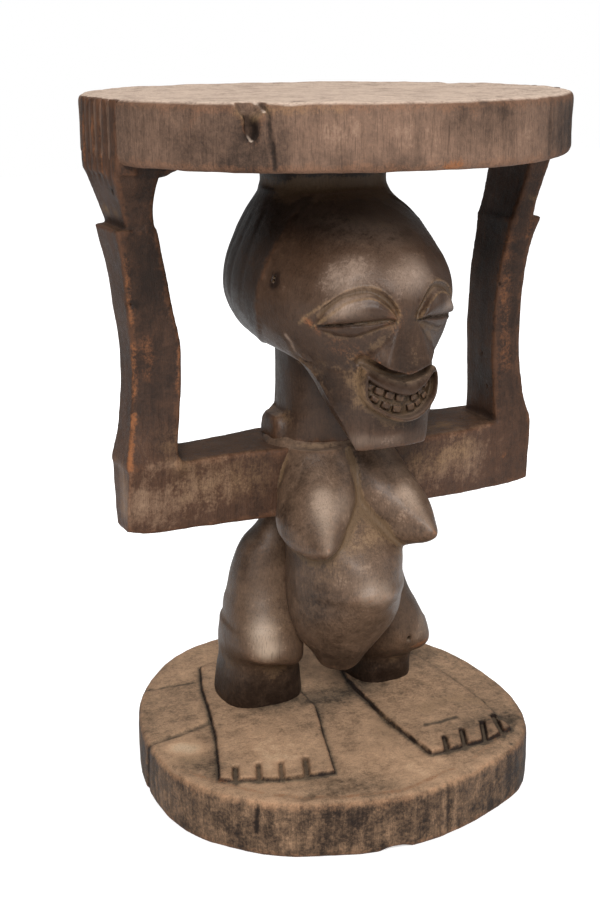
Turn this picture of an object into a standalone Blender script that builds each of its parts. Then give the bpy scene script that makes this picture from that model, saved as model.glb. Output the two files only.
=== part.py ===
"""Songye caryatid stool, cut from one block of wood.

A standing figure on a round base slab carries a thick round seat on its head and
on its raised hands. Each carved member is its own closed solid. Metres, +Z up,
origin on the floor under the middle of the base, the figure faces -Y, and its
right side lies at -X.
"""

import math

import bmesh
import bpy
from mathutils import Matrix, Vector

# Driving dimensions of the whole stool
BASE_RADIUS = 0.1306
BASE_THICKNESS = 0.037
LEGS_RISE = 0.1415
BAR_HEIGHT = 0.0454
HEAD_RISE = 0.1796
SEAT_THICKNESS = 0.0365
SEAT_RADIUS = 0.1465
SEAT_OFF_X = -0.0035
SEAT_OFF_Y = 0.0033
SEAM = 0.0003
CUT_OVERRUN = 0.02
RIM_EDGE = 0.0025

# Feet, shins and thighs
FOOT_RELIEF = 0.003
FOOT_EDGE = 0.001
TOE_SLOT_LENGTH = 0.008
TOE_SLOT_WIDTH = 0.0022
SHIN_HALF_WIDTH = 0.0255
SHIN_HALF_DEPTH = 0.025
THIGH_CLEARANCE = 0.0076
THIGH_HALF_WIDTH = 0.0235
THIGH_REACH = 0.054

# Trunk
SHOULDER_RISE = 0.0091
TORSO_REACH = 0.069
TORSO_HALF_WIDTH = 0.044
NAVEL_RADIUS = 0.006
WEDGE_DROP = 0.0155
WEDGE_LAP = 0.012
WEDGE_HALF_WIDTH = 0.030
WEDGE_REACH = 0.040
BREAST_HEIGHT = 0.063
BREAST_DROP = 0.0609
BREAST_HALF_WIDTH = 0.0215
BREAST_REACH = 0.071
BREAST_SPREAD = 0.0235
BREAST_SPLAY = 0.34

# Arms and hands
BAR_HALF_LENGTH = 0.1408
BAR_END_LEAN = 0.0036
BAR_FRONT = 0.0139
BAR_BACK = 0.040
RIGHT_BAR_END_BACK = 0.022
LEFT_BAR_END_BACK = 0.032
BAR_EDGE = 0.003
RIGHT_FOREARM_HEIGHT = 0.1405
LEFT_FOREARM_HEIGHT = 0.134
ARM_DEPTH = 0.037
ARM_EDGE = 0.003
FINGER_THICKNESS = 0.009
FINGER_PROUD = 0.0008
FINGER_GROOVE_WIDTH = 0.002
FINGER_GROOVE_DEPTH = 0.0018
FINGER_GROOVE_LENGTH = 0.052

# Neck, head and the block under the seat
NECK_RADIUS = 0.031
NECK_SET_BACK = 0.010
CHIN_CLEARANCE = 0.0176
PAD_HEIGHT = 0.0218
PAD_RADIUS = 0.0388
PAD_SET_BACK = 0.0137
HEAD_HALF_LENGTH = 0.092
HEAD_HALF_WIDTH = 0.067
HAIR_RELIEF = 0.0012
HAIR_GROOVE_DEPTH = 0.0012
HAIRLINE_SET_BACK = -0.030
HAIRLINE_LEAN = 0.0
EYE_HALF_LENGTH = 0.023
EYE_HALF_THICKNESS = 0.006
EYE_HALF_HEIGHT = 0.0115
EYE_SLIT = 0.0014
EYE_SLIT_DEPTH = 0.0022
EYE_SLIT_LENGTH_SHARE = 0.8
EYE_SLIT_DROP_SHARE = 0.1
EYE_SPREAD = 0.0272
EYE_RISE = 0.0775
EYE_TURN = math.radians(36)
NOSE_RISE = 0.0445
NOSE_HEIGHT = 0.040
NOSE_HALF_WIDTH = 0.0215
NOSE_REACH = 0.0975
MOUTH_HALF_WIDTH = 0.0242
MOUTH_HALF_HEIGHT = 0.0105
MOUTH_BEND = 0.005
LIP_RADIUS = 0.0036
MOUTH_RISE = 0.029
MOUTH_REACH = 0.0875
TEETH_DEPTH = 0.008
TEETH_SET_BACK = 0.0035
TEETH_FIT_SHARE = 0.93
TOOTH_GAP = 0.0014
TOOTH_COLUMNS = 6

# Powers of the front and back half of a level section: 2 is an ellipse, more is boxier
ROUND_POWERS = (2.0, 2.0)
SHIN_POWERS = (2.6, 2.6)
BREAST_POWERS = (1.6, 2.2)
NOSE_POWERS = (1.7, 2.0)
PAD_POWERS = (2.2, 2.2)

# Mesh detail
MERGE_DISTANCE = 0.00003
BEVEL_ANGLE = math.radians(35)
SMOOTH_ANGLE = math.radians(40)
DISC_SIDES = 64
FORM_SIDES = 24
HEAD_SIDES = 32
HAIR_SIDES = 64
HAIR_GROOVES = 16
FORM_STEPS = 2

# Outline of a disc: its radius every 22.5 degrees, as shares of the driving radius
BASE_RADIUS_SHARES = (0.92, 0.935, 0.985, 1.034, 1.053, 1.072, 1.034, 1.003,
                      1.007, 1.049, 1.038, 0.992, 0.98, 0.969, 1.008, 0.96)
SEAT_RADIUS_SHARES = (1.024, 1.01, 1.002, 1.006, 1.0, 0.996, 1.003, 1.0,
                      0.992, 1.002, 1.001, 0.996, 1.0, 1.005, 0.999, 1.008)

# A form's sections from the bottom up: height as a share of its own height; front,
# widest place and back as shares of its reach; half width as a share of its own
TORSO_SHARES = (
    (0.0, -0.435, -0.087, 0.377, 0.455),
    (0.041, -0.551, -0.116, 0.435, 0.636),
    (0.11, -0.71, -0.174, 0.478, 0.75),
    (0.2, -0.88, -0.246, 0.493, 0.818),
    (0.303, -0.98, -0.29, 0.478, 0.8),
    (0.4, -0.98, -0.275, 0.449, 0.8),
    (0.497, -0.884, -0.217, 0.47, 0.81),
    (0.593, -0.739, -0.159, 0.6, 0.886),
    (0.68, -0.667, -0.1, 0.65, 0.955),
    (0.79, -0.58, -0.04, 0.66, 0.989),
    (0.885, -0.449, 0.04, 0.66, 1.0),
    (0.945, -0.348, 0.11, 0.64, 0.97),
    (1.0, -0.24, 0.17, 0.6, 0.9),
)
WEDGE_SHARES = (
    (0.0, -0.58, -0.3, 0.1, 0.2),
    (0.25, -0.72, -0.3, 0.2, 0.5),
    (0.6, -0.9, -0.3, 0.3, 0.8),
    (1.0, -1.0, -0.3, 0.4, 1.0),
)
THIGH_SHARES = (
    (0.0, 0.05, 0.41, 0.9, 0.86),
    (0.05, -0.06, 0.41, 0.96, 0.98),
    (0.14, -0.15, 0.41, 1.0, 1.0),
    (0.24, -0.17, 0.41, 1.02, 1.0),
    (0.36, -0.12, 0.42, 1.04, 0.95),
    (0.5, 0.0, 0.41, 1.03, 0.95),
    (0.65, 0.07, 0.38, 0.96, 0.93),
    (0.8, 0.14, 0.37, 0.87, 0.79),
    (0.9, 0.19, 0.37, 0.72, 0.6),
    (1.0, 0.24, 0.37, 0.58, 0.36),
)
BREAST_SHARES = (
    (0.0, -0.68, -0.55, -0.34, 0.55),
    (0.08, -0.85, -0.56, -0.28, 0.78),
    (0.2, -1.0, -0.56, -0.24, 0.93),
    (0.36, -0.93, -0.53, -0.2, 1.0),
    (0.56, -0.79, -0.49, -0.18, 1.0),
    (0.8, -0.6, -0.42, -0.16, 0.95),
    (1.0, -0.42, -0.32, -0.14, 0.8),
)
# The head's sections end with the powers of their front and back half
HEAD_SHARES = (
    (0.0, -0.90, -0.86, -0.81, 0.38, 2.6, 2.4),
    (0.039, -0.902, -0.8, -0.72, 0.42, 2.6, 2.4),
    (0.096, -0.904, -0.73, -0.56, 0.46, 2.5, 2.4),
    (0.168, -0.91, -0.66, -0.39, 0.495, 2.4, 2.3),
    (0.239, -0.92, -0.58, -0.2, 0.53, 2.3, 2.2),
    (0.303, -0.94, -0.48, 0.08, 0.58, 2.1, 2.1),
    (0.334, -0.96, -0.3, 0.5, 0.66, 2.0, 2.1),
    (0.385, -0.985, -0.13, 0.8, 0.8, 1.95, 2.1),
    (0.453, -1.01, -0.085, 0.87, 0.91, 1.9, 2.1),
    (0.531, -1.045, -0.07, 0.91, 0.97, 1.85, 2.1),
    (0.617, -1.065, -0.06, 0.91, 0.98, 1.85, 2.1),
    (0.71, -1.015, -0.03, 0.89, 0.935, 1.85, 2.1),
    (0.802, -0.89, 0.022, 0.83, 0.84, 1.85, 2.1),
    (0.888, -0.71, 0.087, 0.74, 0.71, 1.9, 2.0),
    (0.952, -0.47, 0.13, 0.64, 0.6, 1.95, 2.0),
    (1.0, -0.24, 0.15, 0.55, 0.54, 2.0, 2.0),
)
NOSE_SHARES = (
    (0.0, -0.965, -0.86, -0.8, 0.55),
    (0.08, -1.0, -0.87, -0.8, 0.86),
    (0.2, -1.02, -0.88, -0.8, 0.96),
    (0.42, -1.03, -0.88, -0.8, 0.72),
    (0.7, -1.03, -0.9, -0.82, 0.42),
    (1.0, -1.0, -0.9, -0.84, 0.24),
)
# Middle of each leg at the same heights, as shares of the base radius
RIGHT_LEG_STANCE_SHARES = (-0.265, -0.265, -0.265, -0.27, -0.275, -0.28, -0.27, -0.25, -0.22, -0.19)
LEFT_LEG_STANCE_SHARES = (0.42, 0.42, 0.41, 0.385, 0.35, 0.31, 0.275, 0.25, 0.22, 0.19)
SHIN_SET_BACK_SHARE = 0.27
# Levels within the rise of the legs, and the navel's within the torso's height
SHIN_HEIGHT_SHARE = 0.198
TORSO_CLEARANCE_SHARE = 0.346
NAVEL_RISE_SHARE = 0.39
BREAST_ROOT_SHARE = 0.4
# Sideways place of a breast at its own heights, as shares of its spread
BREAST_SPREAD_SHARES = (1.0, 1.0, 1.0, 1.0, 0.98, 0.96, 0.94)

# Arm sections: height; outer and inner face as shares of the bar's half length; front
# and back of the outer face, then of the inner face, as shares of the arm's depth
RIGHT_FOREARM_SHARES = (
    (0.0, 1.008, 0.771, -0.38, 0.54, -0.38, 0.7),
    (0.065, 0.991, 0.764, -0.27, 0.54, -0.35, 0.65),
    (0.155, 0.97, 0.76, -0.16, 0.54, -0.35, 0.62),
    (0.285, 0.953, 0.749, -0.13, 0.54, -0.35, 0.6),
    (0.42, 0.948, 0.744, -0.11, 0.54, -0.35, 0.6),
    (0.54, 0.954, 0.748, -0.19, 0.54, -0.35, 0.6),
    (0.68, 0.973, 0.774, -0.32, 0.54, -0.35, 0.6),
    (0.79, 0.984, 0.795, -0.36, 0.54, -0.38, 0.6),
    (0.9, 1.004, 0.82, -0.47, 0.54, -0.44, 0.63),
    (1.0, 1.03, 0.845, -0.59, 0.54, -0.49, 0.65),
)
LEFT_FOREARM_SHARES = (
    (0.0, 1.005, 0.81, -0.4, 0.62, -0.4, 0.7),
    (0.065, 0.984, 0.803, -0.38, 0.6, -0.38, 0.65),
    (0.155, 0.962, 0.799, -0.36, 0.56, -0.36, 0.62),
    (0.3, 0.941, 0.788, -0.36, 0.54, -0.36, 0.6),
    (0.49, 0.934, 0.785, -0.38, 0.54, -0.38, 0.6),
    (0.64, 0.938, 0.795, -0.38, 0.56, -0.38, 0.62),
    (0.79, 0.955, 0.813, -0.39, 0.58, -0.39, 0.65),
    (0.9, 0.98, 0.838, -0.4, 0.62, -0.4, 0.7),
    (1.0, 1.019, 0.852, -0.43, 0.66, -0.43, 0.76),
)
# Hand sections: height; outer face on its way from the wrist, 0, to the seat's rim, 1;
# thickness, then front and back of the outer and inner face as shares of the arm's depth
RIGHT_HAND_SHARES = (
    (0.0, 0.0, 0.476, -0.49, 0.56, -0.46, 0.62),
    (0.25, 0.25, 0.51, -0.55, 0.6, -0.55, 0.66),
    (0.5, 0.52, 0.578, -0.65, 0.65, -0.65, 0.7),
    (0.75, 0.81, 0.697, -0.78, 0.7, -0.78, 0.74),
    (1.0, 1.06, 0.824, -0.86, 0.74, -0.86, 0.76),
)
LEFT_HAND_SHARES = (
    (0.0, 0.0, 0.438, -0.42, 0.66, -0.42, 0.76),
    (0.3, 0.22, 0.4, -0.46, 0.68, -0.46, 0.76),
    (0.6, 0.5, 0.4, -0.55, 0.7, -0.55, 0.76),
    (0.85, 0.9, 0.49, -0.62, 0.72, -0.62, 0.76),
    (1.0, 1.12, 0.56, -0.66, 0.74, -0.66, 0.76),
)
WRIST_SHARE = 0.975
FINGER_FRONT_SHARE = -0.86
FINGER_BACK_SHARE = 0.74
FINGER_GROOVE_SHARES = (-0.6, -0.34, -0.08, 0.18, 0.44)

# Outlines of the feet as shares of the base radius, from the little toe round
RIGHT_FOOT_SHARES = (
    (-0.83, -0.5), (-0.56, -0.62), (-0.312, -0.665), (-0.21, -0.333), (-0.107, -0.023),
    (-0.1, 0.3), (-0.17, 0.58), (-0.32, 0.7), (-0.47, 0.68), (-0.56, 0.42),
    (-0.61, 0.2), (-0.694, -0.117),
)
LEFT_FOOT_SHARES = (
    (0.185, -0.708), (0.5, -0.706), (0.67, -0.655), (0.7, -0.3), (0.69, 0.1),
    (0.65, 0.4), (0.56, 0.62), (0.4, 0.68), (0.26, 0.5), (0.178, 0.17), (0.157, -0.32),
)
# Where the slots between the toes start on the toe edge, and the way they run back
RIGHT_TOE_SLOT_SHARES = ((-0.7, -0.565), (-0.6, -0.6), (-0.51, -0.625), (-0.41, -0.645))
LEFT_TOE_SLOT_SHARES = ((0.27, -0.7), (0.36, -0.7), (0.45, -0.7), (0.55, -0.69))
RIGHT_FOOT_TURN = math.radians(-16)
LEFT_FOOT_TURN = math.radians(3)

# Wood colours with roughness, from the worn tops to the dark handled places
WORN_TOP = ((0.34, 0.25, 0.19, 1.0), 0.62)
RIM_BROWN = ((0.21, 0.135, 0.095, 1.0), 0.6)
ARM_BROWN = ((0.125, 0.078, 0.054, 1.0), 0.52)
DARK_BROWN = ((0.06, 0.036, 0.026, 1.0), 0.42)
SKIN_BROWN = ((0.11, 0.07, 0.052, 1.0), 0.38)
BELLY_BROWN = ((0.15, 0.098, 0.072, 1.0), 0.45)
FLOOR_BROWN = ((0.27, 0.175, 0.115, 1.0), 0.66)

# Levels that follow from the driving dimensions
BAR_BOTTOM = BASE_THICKNESS + LEGS_RISE
BAR_TOP = BAR_BOTTOM + BAR_HEIGHT
SEAT_BOTTOM = BAR_TOP + HEAD_RISE
SEAT_TOP = SEAT_BOTTOM + SEAT_THICKNESS
FOOT_BOTTOM = BASE_THICKNESS + SEAM
FOOT_TOP = FOOT_BOTTOM + FOOT_RELIEF
SHIN_BOTTOM = FOOT_TOP + SEAM
KNEE_BOTTOM = SHIN_BOTTOM + LEGS_RISE * SHIN_HEIGHT_SHARE
THIGH_BOTTOM = KNEE_BOTTOM + SEAM
THIGH_TOP = BAR_BOTTOM - THIGH_CLEARANCE
TORSO_BOTTOM = BASE_THICKNESS + LEGS_RISE * TORSO_CLEARANCE_SHARE
TORSO_TOP = BAR_TOP + SHOULDER_RISE
CHIN_LEVEL = BAR_TOP + CHIN_CLEARANCE
HEAD_TOP = SEAT_BOTTOM - PAD_HEIGHT
HEAD_HEIGHT = HEAD_TOP - CHIN_LEVEL
FOREARM_BOTTOM = BAR_TOP + SEAM


def collection(name):
    """A collection of its own, linked to the scene."""
    group = bpy.data.collections.new(name)
    bpy.context.scene.collection.children.link(group)
    return group


def wood(name, finish):
    """A wood material with one colour and one roughness."""
    colour, roughness = finish
    material = bpy.data.materials.new(name)
    material.use_nodes = True
    shader = material.node_tree.nodes["Principled BSDF"]
    shader.inputs["Base Color"].default_value = colour
    shader.inputs["Roughness"].default_value = roughness
    shader.inputs["Metallic"].default_value = 0.0
    material.diffuse_color = colour
    return material


def put(mesh, name, group, finish=None, sharp_angle=SMOOTH_ANGLE):
    """An object for a mesh, in its collection, with its own material."""
    thing = bpy.data.objects.new(name, mesh)
    group.objects.link(thing)
    if finish is None:
        thing.hide_render = True
        thing.display_type = "WIRE"
        return thing
    mesh.materials.append(wood(name + "_wood", finish))
    mesh.shade_smooth()
    mesh.set_sharp_from_angle(angle=sharp_angle)
    return thing


def loft(name, rings, group, finish=None):
    """Bridge rings of equal count from the bottom up and close both ends."""
    mesh = bpy.data.meshes.new(name)
    form = bmesh.new()
    rows = [[form.verts.new(point) for point in ring] for ring in rings]
    for lower, upper in zip(rows, rows[1:]):
        for i in range(len(lower)):
            j = (i + 1) % len(lower)
            form.faces.new((lower[i], lower[j], upper[j], upper[i]))
    form.faces.new(list(reversed(rows[0])))
    form.faces.new(rows[-1])
    bmesh.ops.recalc_face_normals(form, faces=form.faces)
    form.to_mesh(mesh)
    form.free()
    return put(mesh, name, group, finish)


def blend(a, b, c, d, t):
    """Catmull-Rom value between b and c."""
    return 0.5 * (2 * b + (c - a) * t + (2 * a - 5 * b + 4 * c - d) * t * t
                  + (3 * b - a - 3 * c + d) * t ** 3)


def refined(rows, steps):
    """The same rows with smooth ones added between them."""
    out = []
    last = len(rows) - 1
    for i in range(last):
        near = [rows[max(0, i - 1)], rows[i], rows[i + 1], rows[min(last, i + 2)]]
        for step in range(steps):
            t = step / steps
            out.append(tuple(blend(*values, t) for values in zip(*near)))
    out.append(rows[last])
    return out


def signed_power(value, power):
    return math.copysign(abs(value) ** power, value)


def egg_ring(level, middle, front, widest, back, half_width, powers, sides):
    """A level section whose front and back halves have their own depth and power."""
    ring = []
    for i in range(sides):
        turn = 2 * math.pi * i / sides
        towards_front = math.cos(turn) > 0
        power = 2 / powers[0] if towards_front else 2 / powers[1]
        depth = widest - front if towards_front else back - widest
        x = middle + half_width * signed_power(math.sin(turn), power)
        y = widest - depth * signed_power(math.cos(turn), power)
        ring.append(Vector((x, y, level)))
    return ring


def form_rings(rows, bottom, height, reach, half_width, middles, sides, grow=0.0):
    """Level sections from a table of shares, each grown outwards by the same amount."""
    table = [row + (middle,) for row, middle in zip(rows, middles)]
    smooth = refined(table, FORM_STEPS)
    rings = []
    for row in smooth:
        level_share, front, widest, back, width, *powers, middle = row
        level = bottom + height * level_share
        powers = powers or ROUND_POWERS
        rings.append(egg_ring(level, middle, reach * front - grow, reach * widest,
                              reach * back + grow, half_width * width + grow, powers, sides))
    for point in rings[0]:
        point.z -= grow
    for point in rings[-1]:
        point.z += grow
    return rings


def block(name, low, high, group, turn=None, finish=None):
    """A box between two corners, turned about its own middle if a turn is given."""
    mesh = bpy.data.meshes.new(name)
    form = bmesh.new()
    low, high = Vector(low), Vector(high)
    size = high - low
    bmesh.ops.create_cube(form, size=1.0, matrix=Matrix.Diagonal((*size, 1.0)))
    form.to_mesh(mesh)
    form.free()
    thing = put(mesh, name, group, finish)
    thing.location = (low + high) / 2
    if turn:
        thing.rotation_euler = turn
    return thing


def outline_plate(name, points, bottom, thickness, group):
    """A flat outline as a filled 2D curve, turned into a closed mesh."""
    curve = bpy.data.curves.new(name, "CURVE")
    curve.dimensions = "2D"
    curve.fill_mode = "BOTH"
    curve.extrude = thickness / 2
    spline = curve.splines.new("POLY")
    spline.points.add(len(points) - 1)
    for place, (x, y) in zip(spline.points, points):
        place.co = (x, y, 0.0, 1.0)
    spline.use_cyclic_u = True
    guide = bpy.data.objects.new(name + "_outline", curve)
    group.objects.link(guide)
    guide.location.z = bottom + thickness / 2
    bpy.context.view_layer.update()
    graph = bpy.context.evaluated_depsgraph_get()
    mesh = bpy.data.meshes.new_from_object(guide.evaluated_get(graph))
    mesh.transform(guide.matrix_world)
    form = bmesh.new()
    form.from_mesh(mesh)
    bmesh.ops.remove_doubles(form, verts=form.verts, dist=MERGE_DISTANCE)
    bmesh.ops.recalc_face_normals(form, faces=form.faces)
    form.to_mesh(mesh)
    form.free()
    bpy.data.objects.remove(guide)
    return mesh


def disc_points(radius, radius_shares, centre, sides):
    """A hand-cut round outline: smooth radii between the shares of the table."""
    count = len(radius_shares)
    points = []
    for i in range(sides):
        place = i * count / sides
        k = int(place)
        near = [radius_shares[(k + step) % count] for step in (-1, 0, 1, 2)]
        size = radius * blend(*near, place - k)
        turn = 2 * math.pi * i / sides
        points.append((centre[0] + size * math.cos(turn), centre[1] + size * math.sin(turn)))
    return points


def smooth_outline(points, steps):
    """A closed outline with smooth points added between its own."""
    count = len(points)
    out = []
    for i in range(count):
        near = [points[(i + step) % count] for step in (-1, 0, 1, 2)]
        for step in range(steps):
            out.append(tuple(blend(*values, step / steps) for values in zip(*near)))
    return out


def bevel(thing, width, segments=2, angle=BEVEL_ANGLE):
    worn = thing.modifiers.new("worn_edges", "BEVEL")
    worn.width = width
    worn.segments = segments
    worn.limit_method = "ANGLE"
    worn.angle_limit = angle
    return worn


def boolean(thing, cutter, operation="DIFFERENCE"):
    cut = thing.modifiers.new(cutter.name, "BOOLEAN")
    cut.operation = operation
    cut.object = cutter
    cut.solver = "EXACT"


def torso_form(name, group, grow=0.0, finish=None):
    height = TORSO_TOP - TORSO_BOTTOM
    middles = [0.0] * len(TORSO_SHARES)
    rings = form_rings(TORSO_SHARES, TORSO_BOTTOM, height, TORSO_REACH,
                       TORSO_HALF_WIDTH, middles, FORM_SIDES, grow)
    return loft(name, rings, group, finish)


def wedge_form(name, group, grow=0.0, finish=None):
    bottom = TORSO_BOTTOM - WEDGE_DROP
    middles = [0.0] * len(WEDGE_SHARES)
    rings = form_rings(WEDGE_SHARES, bottom, WEDGE_DROP + WEDGE_LAP, WEDGE_REACH,
                       WEDGE_HALF_WIDTH, middles, FORM_SIDES, grow)
    return loft(name, rings, group, finish)


def thigh_form(name, group, stance_shares, grow=0.0, finish=None):
    middles = [BASE_RADIUS * share for share in stance_shares]
    rings = form_rings(THIGH_SHARES, THIGH_BOTTOM, THIGH_TOP - THIGH_BOTTOM, THIGH_REACH,
                       THIGH_HALF_WIDTH, middles, FORM_SIDES, grow)
    return loft(name, rings, group, finish)


def shin_form(name, group, middle, finish):
    """Upright lower leg, a rounded block that stands on the foot."""
    set_back = BASE_RADIUS * SHIN_SET_BACK_SHARE
    rings = []
    for level in (SHIN_BOTTOM, (SHIN_BOTTOM + KNEE_BOTTOM) / 2, KNEE_BOTTOM):
        rings.append(egg_ring(level, middle, set_back - SHIN_HALF_DEPTH, set_back,
                              set_back + SHIN_HALF_DEPTH, SHIN_HALF_WIDTH, SHIN_POWERS,
                              FORM_SIDES))
    return loft(name, rings, group, finish)


def breast_form(name, group, side, finish):
    bottom = TORSO_TOP - BREAST_DROP - SHOULDER_RISE
    middles = [side * BREAST_SPREAD * share for share in BREAST_SPREAD_SHARES]
    rows = [row + BREAST_POWERS for row in BREAST_SHARES]
    rings = form_rings(rows, bottom, BREAST_HEIGHT, BREAST_REACH, BREAST_HALF_WIDTH,
                       middles, FORM_SIDES)
    root = -BREAST_REACH * BREAST_ROOT_SHARE
    for ring in rings:
        for point in ring:
            point.x += side * BREAST_SPLAY * max(0.0, root - point.y)
    return loft(name, rings, group, finish)


def bar_ring(x, lean, back, grow):
    """An upright section across the bar at a place along it."""
    bottom, top = BAR_BOTTOM - grow, BAR_TOP + grow
    return [Vector((x - lean, -BAR_FRONT - grow, bottom)), Vector((x, -BAR_FRONT - grow, top)),
            Vector((x, back + grow, top)), Vector((x - lean, back + grow, bottom))]


def bar_half(name, group, side, grow=0.0, finish=None):
    """One half of the straight shoulder bar, from the middle of the trunk out."""
    end_back = RIGHT_BAR_END_BACK if side < 0 else LEFT_BAR_END_BACK
    rings = [bar_ring(side * SEAM, 0.0, BAR_BACK, grow),
             bar_ring(side * TORSO_HALF_WIDTH, 0.0, BAR_BACK, grow),
             bar_ring(side * BAR_HALF_LENGTH, side * BAR_END_LEAN, end_back, grow)]
    return loft(name, rings, group, finish)


def rim_x(side):
    """Where the seat's outline crosses the line of the arms."""
    share = SEAT_RADIUS_SHARES[0] if side > 0 else SEAT_RADIUS_SHARES[len(SEAT_RADIUS_SHARES) // 2]
    return side * SEAT_RADIUS * share + SEAT_OFF_X


def forearm_rows(side, shares):
    """Forearm sections as places: level share, outer and inner face, depths."""
    return [(level, side * BAR_HALF_LENGTH * outer, side * BAR_HALF_LENGTH * inner, *depths)
            for level, outer, inner, *depths in shares]


def hand_rows(side, shares):
    """Hand sections as places, from the wrist's outer face out to the seat's rim."""
    wrist = side * BAR_HALF_LENGTH * WRIST_SHARE
    rows = []
    for level, way, thickness, *depths in shares:
        outer = wrist + (rim_x(side) - wrist) * way
        rows.append((level, outer, outer - side * ARM_DEPTH * thickness, *depths))
    return rows


def arm_form(name, group, rows, bottom, height, finish):
    """An upright four-sided member whose outer and inner faces have their own depth."""
    rings = []
    for row in refined(rows, FORM_STEPS):
        level, outer_x, inner_x, outer_front, outer_back, inner_front, inner_back = row
        z = bottom + height * level
        rings.append([Vector((outer_x, ARM_DEPTH * outer_front, z)),
                      Vector((inner_x, ARM_DEPTH * inner_front, z)),
                      Vector((inner_x, ARM_DEPTH * inner_back, z)),
                      Vector((outer_x, ARM_DEPTH * outer_back, z))])
    return loft(name, rings, group, finish)


def finger_slab(name, group, side, grow=0.0):
    """The fingers on the seat's rim: a slice of the round outline, a little proud."""
    front = ARM_DEPTH * FINGER_FRONT_SHARE - grow
    back = ARM_DEPTH * FINGER_BACK_SHARE + grow
    points = disc_points(SEAT_RADIUS + FINGER_PROUD + grow, SEAT_RADIUS_SHARES,
                         (SEAT_OFF_X, SEAT_OFF_Y), DISC_SIDES)
    bottom = SEAT_BOTTOM - SEAM - FINGER_THICKNESS / 2
    mesh = outline_plate(name, points, bottom, SEAT_TOP - bottom, group)
    slab = put(mesh, name, group)
    inner = rim_x(side) - side * (FINGER_THICKNESS + grow)
    outer = rim_x(side) + side * CUT_OVERRUN
    low = (min(inner, outer), front, bottom - CUT_OVERRUN)
    high = (max(inner, outer), back, SEAT_TOP + CUT_OVERRUN)
    boolean(slab, block(name + "_reach", low, high, group), "INTERSECT")
    return slab


def head_form(name, group, sides, grow=0.0, finish=None, groove=0.0, grooves=0):
    """The whole head as one form, with upright grooves in its skin if asked."""
    middles = [0.0] * len(HEAD_SHARES)
    rings = form_rings(HEAD_SHARES, CHIN_LEVEL, HEAD_HEIGHT, HEAD_HALF_LENGTH,
                       HEAD_HALF_WIDTH, middles, sides, grow)
    if grooves:
        for ring in rings:
            centre = sum(ring, Vector()) / len(ring)
            for i, point in enumerate(ring):
                ripple = math.cos(2 * math.pi * grooves * i / len(ring))
                outward = (point - centre).normalized()
                point += outward * groove * (ripple - 1) / 2
    return loft(name, rings, group, finish)


def hairline_cutter(name, group, front_side, gap):
    """Half space in front of, or behind, the leaning plane of the hairline."""
    reach = 2 * (HEAD_HALF_LENGTH + CUT_OVERRUN)
    shift = -gap if front_side else gap
    mesh = bpy.data.meshes.new(name)
    form = bmesh.new()
    offset = -reach / 2 if front_side else reach / 2
    bmesh.ops.create_cube(form, size=reach, matrix=Matrix.Translation((0.0, offset + shift, 0.0)))
    form.to_mesh(mesh)
    form.free()
    half = put(mesh, name, group)
    half.location = (0.0, HAIRLINE_SET_BACK, (CHIN_LEVEL + HEAD_TOP) / 2)
    half.rotation_euler = (HAIRLINE_LEAN, 0.0, 0.0)
    return half


def ellipsoid(name, centre, half_sizes, group, turn=0.0):
    mesh = bpy.data.meshes.new(name)
    form = bmesh.new()
    bmesh.ops.create_uvsphere(form, u_segments=16, v_segments=8, radius=1.0,
                              matrix=Matrix.Diagonal((*half_sizes, 1.0)))
    form.to_mesh(mesh)
    form.free()
    thing = put(mesh, name, group)
    thing.location = centre
    thing.rotation_euler = (0.0, 0.0, turn)
    return thing


def eye_forms(group):
    """Heavy-lidded almond eyes, and the slit across each."""
    lids, slits = [], []
    level = CHIN_LEVEL + EYE_RISE
    for side in (-1, 1):
        turn = side * EYE_TURN
        along = Vector((math.cos(turn), math.sin(turn), 0.0))
        outward = Vector((along.y, -along.x, 0.0))
        chord = HEAD_HALF_LENGTH - EYE_HALF_THICKNESS
        centre = Vector((side * EYE_SPREAD, -chord, level))
        half_sizes = (EYE_HALF_LENGTH, EYE_HALF_THICKNESS, EYE_HALF_HEIGHT)
        lids.append(ellipsoid(f"eye_{side}", centre, half_sizes, group, turn))
        middle = centre + outward * (EYE_HALF_THICKNESS + CUT_OVERRUN - EYE_SLIT_DEPTH)
        half = Vector((EYE_HALF_LENGTH * EYE_SLIT_LENGTH_SHARE, CUT_OVERRUN, EYE_SLIT / 2))
        drop = Vector((0.0, 0.0, EYE_HALF_HEIGHT * EYE_SLIT_DROP_SHARE))
        slits.append(block(f"eye_slit_{side}", middle - drop - half, middle - drop + half,
                           group, (0.0, 0.0, turn)))
    return lids, slits


def nose_form(name, group):
    rows = [row + NOSE_POWERS for row in NOSE_SHARES]
    middles = [0.0] * len(rows)
    rings = form_rings(rows, CHIN_LEVEL + NOSE_RISE, NOSE_HEIGHT, NOSE_REACH,
                       NOSE_HALF_WIDTH, middles, FORM_SIDES)
    return loft(name, rings, group)


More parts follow.
